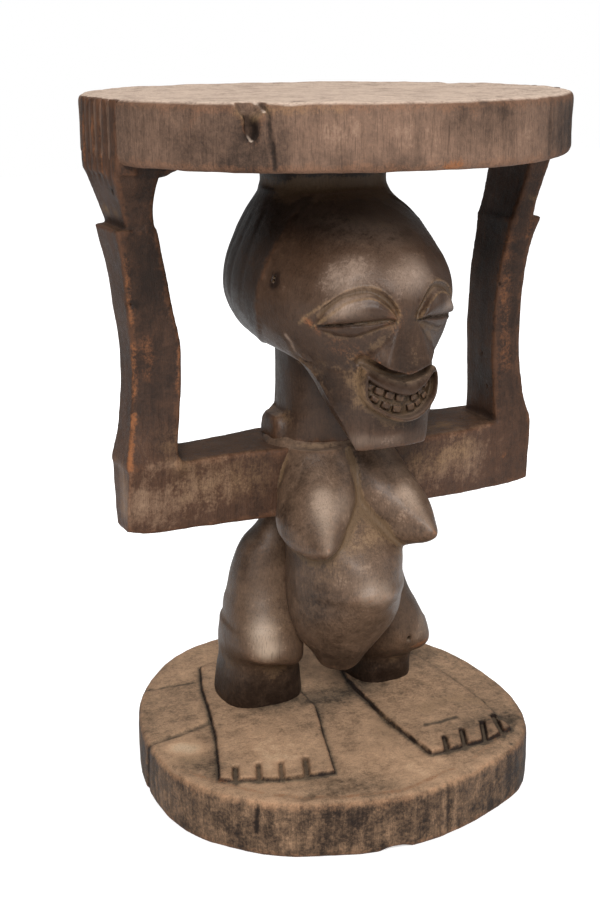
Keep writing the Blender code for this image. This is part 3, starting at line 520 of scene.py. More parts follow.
def near_line(u, v, points):
    """Distance to a line of points in a plane, and how far along it the nearest place is."""
    best, way = np.full(np.broadcast(u, v).shape, EMPTY, np.float32), 0.0
    for k, ((ax, ay), (bx, by)) in enumerate(zip(points, points[1:])):
        run = (bx - ax) ** 2 + (by - ay) ** 2
        t = np.clip(((u - ax) * (bx - ax) + (v - ay) * (by - ay)) / run, 0, 1)
        gap = np.hypot(u - ax - t * (bx - ax), v - ay - t * (by - ay))
        way = np.where(gap < best, (k + t) / (len(points) - 1), way)
        best = np.minimum(best, gap)
    return best, way


def within(u, v, points):
    """Signed distance to a closed outline in a plane, negative inside it."""
    best, _ = near_line(u, v, list(points) + [points[0]])
    inside = np.zeros(best.shape, bool)
    for (ax, ay), (bx, by) in zip(points, list(points[1:]) + [points[0]]):
        if ay != by:
            inside ^= ((ay > v) != (by > v)) & (u < (bx - ax) * (v - ay) / (by - ay) + ax)
    return np.where(inside, -best, best)


def groove(distance, width, depth):
    """Height of a soft groove of a given width round a line."""
    return -depth * np.exp(-(distance / width) ** 2)


# Skin: a closed mesh over the clay, and what wears it

def skin(clay):
    """One vertex in each cell that the surface passes, one face round each crossed edge."""
    field, axes = clay.field, clay.axes
    inside = field < 0
    offsets = list(itertools.product((0, 1), repeat=3))
    shape = [n - 1 for n in field.shape]
    trimmed = [inside[tuple(slice(o, o + n) for o, n in zip(offset, shape))] for offset in offsets]
    full = sum(part.astype(np.uint8) for part in trimmed)
    mixed = (full > 0) & (full < 8)
    cells = np.argwhere(mixed)
    index = np.full(mixed.shape, -1, np.int32)
    index[mixed] = np.arange(len(cells))
    value = {offset: field[tuple((cells + offset).T)] for offset in offsets}
    total, count = np.zeros((len(cells), 3)), np.zeros(len(cells))
    for a, b in itertools.combinations(offsets, 2):
        if sum(abs(p - q) for p, q in zip(a, b)) != 1:
            continue
        crossed = (value[a] < 0) != (value[b] < 0)
        t = np.where(crossed, value[a] / np.where(crossed, value[a] - value[b], 1), 0)
        place = np.array(a) + t[:, None] * (np.array(b) - np.array(a))
        total += place * crossed[:, None]
        count += crossed
    share = total / count[:, None]
    points = np.stack([axis[cells[:, k]] + share[:, k] * (axis[cells[:, k] + 1] - axis[cells[:, k]])
                       for k, axis in enumerate(axes)], axis=1)
    faces = []
    for axis in range(3):
        u, v = [k for k in range(3) if k != axis]
        ends = [slice(1, -1)] * 3
        ends[axis] = slice(0, -1)
        ahead = list(ends)
        ahead[axis] = slice(1, None)
        here, there = inside[tuple(ends)], inside[tuple(ahead)]
        starts = np.argwhere(here != there) + [0 if k == axis else 1 for k in range(3)]
        step_u, step_v = np.eye(3, dtype=int)[u], np.eye(3, dtype=int)[v]
        ring = [starts, starts - step_u, starts - step_u - step_v, starts - step_v]
        quad = np.stack([index[tuple(place.T)] for place in ring], axis=1)
        outward = inside[tuple(starts.T)] != (axis == 1)
        quad[~outward] = quad[~outward][:, ::-1]
        faces.append(quad)
    return points, np.concatenate(faces)


def side_pairs(faces):
    """Each side of the faces once, as a pair of vertices."""
    sides = np.concatenate([faces[:, [k, (k + 1) % 4]] for k in range(4)])
    return np.unique(np.sort(sides, axis=1), axis=0)


def averaged(values, pairs, rounds):
    """Values evened out with those of their neighbours, a number of times over."""
    a, b = pairs.T
    count = len(values)
    shares = np.bincount(a, minlength=count) + np.bincount(b, minlength=count) + 1.0
    columns = np.atleast_2d(values.T).astype(float)
    for _ in range(rounds):
        columns = np.array([(np.bincount(a, column[b], count) + np.bincount(b, column[a], count)
                             + column) / shares for column in columns])
    return columns.T if values.ndim > 1 else columns[0]


def skin_normals(points, faces):
    """Unit normals of the vertices, from the faces round them."""
    a, b, c, d = (points[faces[:, k]] for k in range(4))
    normals = np.cross(c - a, d - b)
    total = np.zeros_like(points)
    for k, axis in itertools.product(range(4), range(3)):
        total[:, axis] += np.bincount(faces[:, k], normals[:, axis], len(points))
    return total / np.maximum(np.linalg.norm(total, axis=1, keepdims=True), LEAST_LENGTH)


def scramble(cells, seed):
    """A number from 0 to 1 for each lattice cell, the same every time."""
    key = np.bitwise_xor.reduce([cells[..., k] * prime for k, prime in enumerate(CELL_PRIMES)])
    key = (key ^ (seed * SEED_PRIME)) & 0xFFFFFFFF
    for _ in range(2):
        key = ((key ^ (key >> 15)) * MIXING_PRIME) & 0xFFFFFFFF
    return ((key ^ (key >> 13)) & 0xFFFF) / 0xFFFF


def lattice_noise(points, size, seed):
    """Smooth noise from -1 to 1, with swells about the given size apart."""
    place = points / size
    cell = np.floor(place).astype(np.int64)
    t = place - cell
    t = t * t * (3 - 2 * t)
    total = 0.0
    for corner in itertools.product((0, 1), repeat=3):
        weight = np.prod(np.where(corner, t, 1 - t), axis=-1)
        total = total + weight * (scramble(cell + corner, seed) * 2 - 1)
    return total


def tool_cuts(points, size, seed):
    """Shallow scoops side by side: 0 in the middle of each, 1 at the ridges between."""
    place = points / size
    cell = np.floor(place).astype(np.int64)
    nearest = 1.0
    for corner in itertools.product((-1, 0, 1), repeat=3):
        there = cell + corner
        middle = there + np.stack([scramble(there, seed + k) for k in range(3)], axis=-1)
        nearest = np.minimum(nearest, np.sum((place - middle) ** 2, axis=-1))
    return nearest


# Places on the carving

# Points on the face: across from its middle as shares of the head's half width, and up
# from the chin as shares of the head's height. The figure's right is negative.
LID_RIM = (
    (-0.672, 0.505), (-0.634, 0.535), (-0.582, 0.571), (-0.507, 0.61), (-0.391, 0.633), (-0.297, 0.634),
    (-0.199, 0.601), (-0.119, 0.557), (-0.084, 0.534),
)
BROW_EDGE = (
    (-0.746, 0.51), (-0.701, 0.556), (-0.6, 0.613), (-0.503, 0.653), (-0.382, 0.677), (-0.287, 0.678),
    (-0.193, 0.654), (-0.11, 0.604), (-0.069, 0.557),
)
LID_SLIT = (
    (-0.672, 0.505), (-0.613, 0.514), (-0.457, 0.526), (-0.319, 0.534), (-0.19, 0.543), (-0.084, 0.537),
)
LOWER_LID = (
    (-0.672, 0.498), (-0.609, 0.487), (-0.515, 0.471), (-0.4, 0.471), (-0.281, 0.496), (-0.163, 0.521),
    (-0.084, 0.529),
)
MOUTH_OUTLINE = (
    (-0.322, 0.332), (-0.284, 0.336), (-0.194, 0.312), (-0.06, 0.285), (0.054, 0.272), (0.172, 0.279),
    (0.269, 0.297), (0.337, 0.322), (0.379, 0.316), (0.403, 0.286), (0.412, 0.239), (0.382, 0.189),
    (0.273, 0.142), (0.155, 0.116), (0.034, 0.11), (-0.075, 0.119), (-0.188, 0.146), (-0.281, 0.18),
    (-0.331, 0.22), (-0.348, 0.275),
)
LIP_RIDGE = (
    (-0.358, 0.327), (-0.307, 0.312), (-0.23, 0.282), (-0.131, 0.256), (-0.03, 0.238), (0.054, 0.23),
    (0.134, 0.239), (0.215, 0.262), (0.328, 0.304), (0.388, 0.325),
)
TEETH_TOP = (
    (-0.304, 0.296), (-0.221, 0.267), (-0.119, 0.243), (-0.03, 0.227), (0.051, 0.22), (0.128, 0.228),
    (0.212, 0.25), (0.331, 0.29), (0.379, 0.287),
)
TEETH_LOW = (
    (0.382, 0.246), (0.352, 0.199), (0.248, 0.159), (0.14, 0.136), (0.039, 0.13), (-0.06, 0.138),
    (-0.164, 0.163), (-0.263, 0.195), (-0.307, 0.23),
)
UPPER_TEETH = (
    (-0.278, 0.263), (-0.197, 0.242), (-0.104, 0.222), (-0.009, 0.208), (0.134, 0.203), (0.209, 0.22),
    (0.281, 0.243), (0.337, 0.266),
)
LOWER_TEETH = (
    (-0.233, 0.209), (-0.137, 0.18), (-0.039, 0.162), (0.104, 0.162), (0.185, 0.176), (0.263, 0.2),
)
NOSE_MIDDLE = (0.021, 0.314)
NOSE_TOP = (0.018, 0.574)
NOSE_FACET = (0.182, 0.396)
NOSE_WING = (0.337, 0.389)
CAVITY_LINE = (
    (-0.313, 0.367), (-0.209, 0.336), (-0.09, 0.306), (0.03, 0.293), (0.149, 0.299), (0.269, 0.327),
    (0.343, 0.353),
)

# Places in the round on the head: shares of its half width, half length and height
JAW_EDGES = (
    ((-0.687, -0.326, 0.396), (-0.604, -0.517, 0.309), (-0.534, -0.66, 0.222), (-0.475, -0.767, 0.128),
     (-0.415, -0.852, 0.016)),
    ((-0.657, -0.543, 0.36), (-0.582, -0.674, 0.267), (-0.522, -0.783, 0.153), (-0.455, -0.87, 0.032)),
)
# The hairline from the crown down to the nape: front to back, and up
HAIRLINE = (
    (-0.261, 0.995), (-0.283, 0.976), (-0.31, 0.924), (-0.337, 0.848), (-0.359, 0.743), (-0.354, 0.687),
    (-0.326, 0.581), (-0.272, 0.46), (-0.152, 0.389), (0.0, 0.346), (0.239, 0.317),
)

# A form's sections from the bottom up: height as a share of its own height; front,
# widest place and back as shares of its reach; half width as a share of its own;
# and, on the head, the powers of the front and back half
TORSO_SHARES = (
    (0.0, -0.435, -0.087, 0.377, 0.455),
    (0.041, -0.52, -0.116, 0.435, 0.62),
    (0.11, -0.655, -0.174, 0.478, 0.73),
    (0.2, -0.79, -0.246, 0.493, 0.79),
    (0.29, -0.93, -0.29, 0.478, 0.81),
    (0.345, -1.01, -0.29, 0.465, 0.82),
    (0.4, -0.985, -0.275, 0.449, 0.81),
    (0.497, -0.884, -0.217, 0.47, 0.81),
    (0.593, -0.71, -0.159, 0.6, 0.886),
    (0.68, -0.58, -0.1, 0.65, 0.955),
    (0.79, -0.44, -0.04, 0.66, 0.989),
    (0.885, -0.34, 0.04, 0.66, 1.0),
    (0.94, -0.3, 0.13, 0.64, 0.97),
    (0.98, -0.2, 0.17, 0.6, 0.88),
)
WEDGE_SHARES = (
    (0.0, -0.55, -0.3, 0.1, 0.24),
    (0.1, -0.64, -0.3, 0.14, 0.42),
    (0.35, -0.76, -0.3, 0.2, 0.56),
    (0.65, -0.9, -0.3, 0.3, 0.72),
    (1.0, -1.0, -0.3, 0.4, 0.88),
)
RIGHT_THIGH_SHARES = (
    (0.0, -0.16, 0.3, 0.96, 1.0, 2.8, 2.4),
    (0.1, -0.2, 0.3, 1.0, 1.02, 2.8, 2.4),
    (0.2, -0.2, 0.3, 1.03, 1.02, 2.7, 2.2),
    (0.3, -0.17, 0.33, 1.05, 1.0, 2.5, 2.2),
    (0.4, -0.06, 0.37, 1.06, 0.99, 2.3, 2.1),
    (0.5, 0.05, 0.4, 1.03, 0.97, 2.2, 2.1),
    (0.65, 0.12, 0.4, 0.97, 0.93, 2.1, 2.1),
    (0.8, 0.17, 0.4, 0.88, 0.8, 2.1, 2.1),
    (0.9, 0.22, 0.4, 0.76, 0.62, 2.1, 2.1),
    (1.06, 0.26, 0.4, 0.6, 0.38, 2.1, 2.1),
)
LEFT_THIGH_SHARES = (
    (-0.08, -0.06, 0.36, 0.96, 0.94, 2.8, 2.4),
    (0.0, -0.13, 0.36, 1.0, 1.02, 2.8, 2.4),
    (0.1, -0.18, 0.36, 1.02, 1.02, 2.6, 2.2),
    (0.24, -0.17, 0.38, 1.02, 0.98, 2.4, 2.2),
    (0.36, -0.1, 0.4, 1.04, 0.95, 2.2, 2.1),
    (0.5, 0.0, 0.41, 1.03, 0.95, 2.1, 2.1),
    (0.65, 0.08, 0.38, 0.96, 0.93, 2.1, 2.1),
    (0.8, 0.15, 0.37, 0.87, 0.79, 2.1, 2.1),
    (0.9, 0.2, 0.37, 0.72, 0.6, 2.1, 2.1),
    (1.06, 0.25, 0.37, 0.58, 0.36, 2.1, 2.1),
)
BREAST_SHARES = (
    (0.0, -0.5, -0.42, -0.05, 0.2, 1.8, 2.2),
    (0.07, -0.66, -0.46, -0.05, 0.42, 1.7, 2.2),
    (0.17, -0.9, -0.5, -0.05, 0.74, 1.4, 2.2),
    (0.255, -1.0, -0.48, -0.05, 0.92, 1.2, 2.2),
    (0.33, -0.955, -0.44, -0.05, 0.99, 1.28, 2.2),
    (0.42, -0.87, -0.4, -0.05, 1.04, 1.5, 2.2),
    (0.57, -0.745, -0.32, -0.05, 1.04, 1.75, 2.2),
    (0.71, -0.63, -0.25, -0.05, 0.98, 1.85, 2.2),
    (0.87, -0.48, -0.18, -0.05, 0.88, 1.9, 2.2),
    (1.0, -0.38, -0.15, -0.05, 0.78, 1.9, 2.2),
)
HEAD_SHARES = (
    (-0.02, -0.885, -0.84, -0.8, 0.34, 2.4, 2.2),
    (0.0, -0.895, -0.84, -0.79, 0.36, 2.4, 2.2),
    (0.039, -0.905, -0.79, -0.71, 0.395, 2.4, 2.3),
    (0.096, -0.905, -0.72, -0.56, 0.44, 2.4, 2.4),
    (0.168, -0.91, -0.66, -0.39, 0.495, 2.4, 2.3),
    (0.239, -0.92, -0.58, -0.2, 0.53, 2.3, 2.2),
    (0.303, -0.94, -0.48, 0.08, 0.58, 2.1, 2.1),
    (0.334, -0.96, -0.3, 0.5, 0.66, 2.0, 2.1),
    (0.385, -0.985, -0.13, 0.8, 0.8, 1.95, 2.1),
    (0.453, -1.01, -0.085, 0.87, 0.91, 1.9, 2.1),
    (0.531, -1.045, -0.07, 0.91, 0.97, 1.85, 2.1),
    (0.617, -1.065, -0.06, 0.91, 0.98, 1.85, 2.1),
    (0.71, -1.015, -0.03, 0.89, 0.935, 1.85, 2.1),
    (0.802, -0.89, 0.022, 0.83, 0.84, 1.85, 2.1),
    (0.888, -0.71, 0.087, 0.78, 0.735, 1.9, 2.0),
    (0.952, -0.5, 0.13, 0.69, 0.645, 1.95, 2.0),
    (1.0, -0.3, 0.15, 0.59, 0.58, 2.0, 2.0),
)
# Middle of each leg, knee to hip, as shares of the base radius
RIGHT_STANCE_SHARES = (-0.33, -0.33, -0.33, -0.325, -0.315, -0.3, -0.285, -0.26, -0.22, -0.19)
LEFT_STANCE_SHARES = (0.42, 0.418, 0.405, 0.37, 0.33, 0.3, 0.27, 0.25, 0.22, 0.19)
# Lower legs: middle and half width, front and back, as shares of the base radius
RIGHT_SHIN_SHARES = (-0.305, 0.214, 0.068, 0.475)
LEFT_SHIN_SHARES = (0.375, 0.17, 0.06, 0.46)
# The crease under each knee: its level over the thigh's own foot, and its slope
RIGHT_KNEE = (0.006, -0.26)
LEFT_KNEE = (-0.0062, 0.0)
# Lower legs from the foot up, then up to the thigh: level; depth and half width as shares;
# and how far the row leans forward
SHIN_LOW_ROWS = ((0.0, 0.97, 0.95, 0.0), (0.01, 1.02, 1.01, 0.0))
SHIN_TOP_ROWS = ((-0.024, 0.98, 0.94, 0.35), (-0.01, 0.86, 0.78, 0.9), (0.002, 0.68, 0.56, 1.0),
                 (0.014, 0.45, 0.3, 1.0))
LEGS = {
    -1: (RIGHT_THIGH_SHARES, RIGHT_STANCE_SHARES, RIGHT_SHIN_SHARES, RIGHT_KNEE),
    1: (LEFT_THIGH_SHARES, LEFT_STANCE_SHARES, LEFT_SHIN_SHARES, LEFT_KNEE),
}

# Arm sections: height; outer and inner face as shares of the bar's half length; front
# and back of the outer face, then of the inner face, as shares of the arm's depth
RIGHT_FOREARM_SHARES = (
    (-0.03, 0.985, 0.78, -0.32, 0.5, -0.2, 0.64),
    (0.0, 1.006, 0.771, -0.4, 0.54, -0.27, 0.7),
    (0.065, 0.991, 0.764, -0.3, 0.54, -0.29, 0.65),
    (0.155, 0.97, 0.76, -0.19, 0.54, -0.32, 0.62),
    (0.285, 0.953, 0.749, -0.13, 0.54, -0.35, 0.6),
    (0.42, 0.948, 0.744, -0.11, 0.54, -0.35, 0.6),
    (0.54, 0.954, 0.748, -0.19, 0.54, -0.35, 0.6),
    (0.68, 0.973, 0.774, -0.32, 0.54, -0.35, 0.6),
    (0.79, 0.984, 0.795, -0.36, 0.54, -0.38, 0.6),
    (0.9, 1.004, 0.82, -0.47, 0.54, -0.44, 0.63),
    (1.018, 1.03, 0.845, -0.59, 0.54, -0.49, 0.65),
)
LEFT_FOREARM_SHARES = (
    (-0.03, 0.985, 0.82, -0.34, 0.58, -0.34, 0.66),
    (0.0, 1.005, 0.81, -0.4, 0.62, -0.4, 0.7),
    (0.065, 0.984, 0.803, -0.38, 0.6, -0.38, 0.65),
    (0.155, 0.962, 0.799, -0.36, 0.56, -0.36, 0.62),
    (0.3, 0.941, 0.788, -0.36, 0.54, -0.36, 0.6),
    (0.49, 0.934, 0.785, -0.38, 0.54, -0.38, 0.6),
    (0.64, 0.938, 0.795, -0.38, 0.56, -0.38, 0.62),
    (0.79, 0.955, 0.813, -0.39, 0.58, -0.39, 0.65),
    (0.9, 0.98, 0.838, -0.4, 0.62, -0.4, 0.7),
    (1.0, 1.019, 0.852, -0.43, 0.66, -0.43, 0.76),
)
# Hand sections: height; outer face on its way from the wrist, 0, to the seat's rim, 1;
# thickness, then front and back of the outer and inner face as shares of the arm's depth
RIGHT_HAND_SHARES = (
    (-0.04, 0.0, 0.476, -0.46, 0.5, -0.42, 0.56),
    (0.0, 0.0, 0.476, -0.49, 0.56, -0.46, 0.62),
    (0.25, 0.25, 0.51, -0.55, 0.6, -0.55, 0.66),
    (0.5, 0.52, 0.578, -0.65, 0.65, -0.65, 0.7),
    (0.75, 0.81, 0.697, -0.78, 0.7, -0.78, 0.74),
    (1.0, 1.06, 0.824, -0.86, 0.74, -0.86, 0.76),
    (1.12, 1.1, 0.86, -0.88, 0.74, -0.88, 0.76),
)
LEFT_HAND_SHARES = (
    (-0.04, 0.0, 0.438, -0.38, 0.6, -0.38, 0.7),
    (0.0, 0.0, 0.438, -0.42, 0.66, -0.42, 0.76),
    (0.3, 0.22, 0.4, -0.46, 0.68, -0.46, 0.76),
    (0.6, 0.5, 0.4, -0.55, 0.7, -0.55, 0.76),
    (0.85, 0.9, 0.49, -0.62, 0.72, -0.62, 0.76),
    (1.0, 1.12, 0.56, -0.66, 0.74, -0.66, 0.76),
    (1.12, 1.14, 0.58, -0.68, 0.74, -0.68, 0.76),
)
# Bar sections from the trunk out: place as a share of the half length; front bottom,
# front top, back bottom and back top as shares of the arm's depth; bottom and top
# levels as shares of the bar's height
RIGHT_BAR_SHARES = (
    (0.1, -0.2, -0.27, 1.1, 1.19, 0.0, 1.0),
    (0.28, -0.2, -0.27, 1.06, 1.19, 0.0, 1.0),
    (0.47, -0.14, -0.16, 0.98, 1.04, 0.0, 1.0),
    (0.64, -0.12, -0.2, 0.86, 0.92, 0.0, 1.0),
    (0.76, -0.12, -0.26, 0.76, 0.81, 0.0, 1.0),
    (0.9, -0.14, -0.34, 0.56, 0.65, 0.02, 1.0),
    (1.0, -0.17, -0.39, 0.42, 0.52, 0.09, 1.0),
)
LEFT_BAR_SHARES = (
    (0.1, -0.44, -0.6, 1.06, 1.14, 0.0, 1.0),
    (0.28, -0.5, -0.65, 1.04, 1.14, 0.0, 1.0),
    (0.42, -0.52, -0.68, 1.0, 1.08, 0.0, 1.0),
    (0.62, -0.5, -0.62, 0.94, 1.0, 0.0, 1.0),
    (0.76, -0.44, -0.44, 0.9, 0.95, 0.0, 1.0),
    (0.88, -0.4, -0.42, 0.84, 0.92, 0.0, 1.0),
    (1.0, -0.38, -0.43, 0.7, 0.84, 0.05, 1.0),
)
FINGER_GROOVE_SHARES = (-0.6, -0.34, -0.08, 0.18, 0.44)
FINGER_FRONT_SHARE = -0.86
FINGER_BACK_SHARE = 0.74
WRIST_SHARE = 0.975
ARMS = {
    -1: ("right", RIGHT_FOREARM_SHARES, RIGHT_BAR_SHARES, RIGHT_HAND_SHARES),
    1: ("left", LEFT_FOREARM_SHARES, LEFT_BAR_SHARES, LEFT_HAND_SHARES),
}

# Outline of a disc: its radius every 22.5 degrees, as shares of the mean radius
BASE_RADIUS_SHARES = (0.92, 0.935, 0.985, 1.034, 1.053, 1.072, 1.034, 1.003,
                      1.007, 1.049, 1.038, 0.992, 0.98, 0.969, 1.008, 0.96)
SEAT_RADIUS_SHARES = (1.024, 1.01, 1.002, 1.006, 1.0, 0.996, 1.003, 1.0,
                      0.992, 1.002, 1.001, 0.996, 1.0, 1.005, 0.999, 1.008)
# Feet as shares of the base radius, and the starts and ends of the slots between toes
RIGHT_FOOT_SHARES = (
    (-0.83, -0.5), (-0.56, -0.62), (-0.312, -0.665), (-0.21, -0.333), (-0.107, -0.023), (-0.1, 0.3),
    (-0.17, 0.58), (-0.32, 0.7), (-0.47, 0.68), (-0.56, 0.42), (-0.61, 0.2), (-0.694, -0.117),
)
LEFT_FOOT_SHARES = (
    (0.185, -0.708), (0.5, -0.706), (0.67, -0.655), (0.7, -0.3), (0.69, 0.1), (0.65, 0.4), (0.56, 0.62),
    (0.4, 0.68), (0.26, 0.5), (0.178, 0.17), (0.157, -0.32),
)
TOE_SLOTS = (
    ((-0.722, -0.433), (-0.769, -0.551)), ((-0.614, -0.456), (-0.663, -0.582)),
    ((-0.511, -0.485), (-0.559, -0.605)), ((-0.389, -0.498), (-0.447, -0.643)),
    ((0.318, -0.594), (0.265, -0.72)), ((0.433, -0.566), (0.364, -0.72)),
    ((0.567, -0.546), (0.482, -0.712)), ((0.658, -0.505), (0.597, -0.689)),
)
LEFT_INSTEP = ((0.469, -0.453), (0.383, -0.462), (0.296, -0.459))
FEET = (RIGHT_FOOT_SHARES, LEFT_FOOT_SHARES)


def on_face(sizes, shares):
    """Points across the face in metres."""
    return [(sizes.head_half_width * x, HEAD_LOW[2] + HEAD_HEIGHT * z) for x, z in shares]


def on_head(sizes, shares, side=-1):
    """Places in the round on the head, mirrored for the figure's left."""
    half, long = sizes.head_half_width, sizes.head_half_length
    return [(-side * half * x, long * y, HEAD_LOW[2] + HEAD_HEIGHT * z) for x, y, z in shares]


def on_base(sizes, shares):
    """Points on the base in metres."""
    return [(sizes.base_radius * x, sizes.base_radius * y) for x, y in shares]


def in_metres(rows):
    """Millimetres turned into metres, however deep the rows are nested."""
    return [in_metres(row) if isinstance(row, tuple) else row / 1000 for row in rows]


def eye_height(sizes, across, up):
    """Height of a heavy-lidded eye over the face: lids, slit, rim and the hollow above."""
    lines = [np.array(refined(on_face(sizes, line), FACE_STEPS)).T
             for line in (LID_RIM, BROW_EDGE, LID_SLIT, LOWER_LID)]
    rim, brow, slit, low = (np.interp(across, *line) for line in lines)
    (outer, _), (inner, _) = on_face(sizes, (LID_RIM[0], LID_RIM[-1]))
    width = ease(across, outer - LID_TAPER / 2, outer + LID_TAPER * 3)
    width = width * (1 - ease(across, inner - LID_TAPER, inner + LID_TAPER / 2))
    lid = (up - slit) / np.maximum(rim - slit, LEAST_GAP)
    hollow = (up - rim) / np.maximum(brow - rim, LEAST_GAP)
    under = (slit - up) / np.maximum(slit - low, LEAST_GAP)
    upper_lid = sizes.lid_bulge * np.sin(math.pi * (LID_START + LID_SPAN * np.clip(lid, 0, 1)))
    edge = sizes.lid_bulge * math.sin(math.pi * (LID_START + LID_SPAN))
    above = edge * (1 - ease(hollow, 0, 0.5)) - BROW_HOLLOW * np.sin(math.pi * np.clip(hollow, 0, 1))
    lower_lid = LOWER_LID_BULGE * np.clip(1 - under * under, 0, 1) ** LOWER_LID_POWER
    height = np.where(up > rim, above, np.where(up > slit, upper_lid, lower_lid))
    rims = groove(up - rim, RIM_WIDTH, -RIM_RISE) + groove(up - brow, BROW_WIDTH, -BROW_RISE)
    cuts = groove(up - low, CREASE_WIDTH, CREASE_DEPTH) + groove(up - slit, SLIT_HALF_WIDTH, sizes.lid_slit)
    return (height + rims + cuts) * width


def tooth_field(sizes, across, up, row):
    """Distance to the nearest of a row of rounded square teeth."""
    best = np.full(np.broadcast(across, up).shape, EMPTY, np.float32)
    points = on_face(sizes, row)
    for k, (x, z) in enumerate(points):
        before, after = points[max(k - 1, 0)], points[min(k + 1, len(points) - 1)]
        turn = math.atan2(after[1] - before[1], after[0] - before[0])
        half = TOOTH_HALF * TOOTH_UNEVEN[k]
        u = ((across - x) * math.cos(turn) + (up - z) * math.sin(turn)) / half
        v = ((up - z) * math.cos(turn) - (across - x) * math.sin(turn)) / (half * TOOTH_SQUAT)
        rim = (u ** TOOTH_POWER + v ** TOOTH_POWER) ** (1 / TOOTH_POWER)
        best = np.minimum(best, rim * half - half)
    return best


def lip_front(sizes, across):
    """The front of the lips, which curves back to both sides."""
    bend = (across / (sizes.head_half_width * LIP_BEND_SHARE)) ** 2
    return -sizes.head_half_length - sizes.muzzle_rise + LIP_BEND * bend


def opening_gap(sizes, across, up):
    """Distance outside the open mouth."""
    top, low = (refined(on_face(sizes, line), LINE_STEPS) for line in (TEETH_TOP, TEETH_LOW))
    return within(across, up, top + low)


def carve_mouth(sizes, clay):
    """A full muzzle with a sharp upper lip, and an open mouth with two rows of teeth."""
    outline = within(clay.x, clay.z, refined(on_face(sizes, MOUTH_OUTLINE), FACE_STEPS, closed=True))
    ridge = np.array(refined(on_face(sizes, LIP_RIDGE), FACE_STEPS)).T
    front = lip_front(sizes, clay.x)
    slope = LIP_SLOPE * np.maximum(0, clay.z - np.interp(clay.x, *ridge))
    clay.add(smooth_max(outline, front + slope - clay.y, LIP_ROUND), MUZZLE_FLARE)
    opening = opening_gap(sizes, clay.x, clay.z)
    lips = clay.y < front + LIP_BEND
    clay.swell(-groove(opening - LIP_ROLL_WIDTH, LIP_ROLL_WIDTH, LIP_ROLL) * lips)
    inner, outer = np.maximum(opening, 0), np.maximum(-outline, 0)
    clay.swell(LIP_FULL * lips * 4 * inner * outer / np.maximum(inner + outer, LEAST_GAP) ** 2)
    clay.cut(np.maximum(opening, clay.y - front - sizes.teeth_recess), OPENING_EDGE)
    teeth = np.minimum(*(tooth_field(sizes, clay.x, clay.z, row) for row in (UPPER_TEETH, LOWER_TEETH)))
    teeth = smooth_max(teeth, front + TEETH_SET_BACK - clay.y, TOOTH_ROUND)
    clay.add(np.maximum(teeth, np.maximum(opening, clay.y)))


def nose_form(sizes, clay):
    """A wedge of flat facets: the front, two flanks and the underside, softly met."""
    (middle, tip_z), (top_x, top_z), (facet_x, facet_z), (wing_x, wing_z) = on_face(
        sizes, (NOSE_MIDDLE, NOSE_TOP, NOSE_FACET, NOSE_WING))
    top_y, facet_y, wing_y, tip_y, root_y = (-sizes.head_half_length * share for share in NOSE_DEPTH_SHARES)
    tip = Vector((middle, tip_y, tip_z))
    form = wall(clay, (middle, facet_y, facet_z), (0.0, -1.0, (facet_y - top_y) / (top_z - facet_z)))
    for side in (-1, 1):
        top = Vector((middle + side * top_x, top_y, top_z))
        facet = Vector((middle + side * facet_x, facet_y, facet_z))
        wing = Vector((middle + side * wing_x, wing_y, wing_z))
        flank = (facet - top).cross(wing - top) * side
        under = (wing - tip).cross(Vector((middle, root_y, tip_z + NOSE_UNDERCUT)) - tip) * -side
        for point, normal in ((facet, flank), (tip, under)):
            form = smooth_max(form, wall(clay, point, normal), NOSE_SOFTNESS)
    share = np.clip((clay.z - facet_z) / (top_z - facet_z), NOSE_LOWEST, NOSE_HIGHEST)
    reach = wing_x + (top_x - wing_x) * share + NOSE_SPARE
    form = smooth_max(form, np.abs(clay.x - middle) - reach, NOSE_SHOULDER)
    return np.maximum(form, clay.y - root_y)


def hairline_at(sizes, level):
    """How far back the hairline is at a level."""
    places = [(HEAD_LOW[2] + HEAD_HEIGHT * up, sizes.head_half_length * back) for back, up in HAIRLINE]
    return np.interp(level, *np.array(sorted(refined(places, FACE_STEPS))).T)


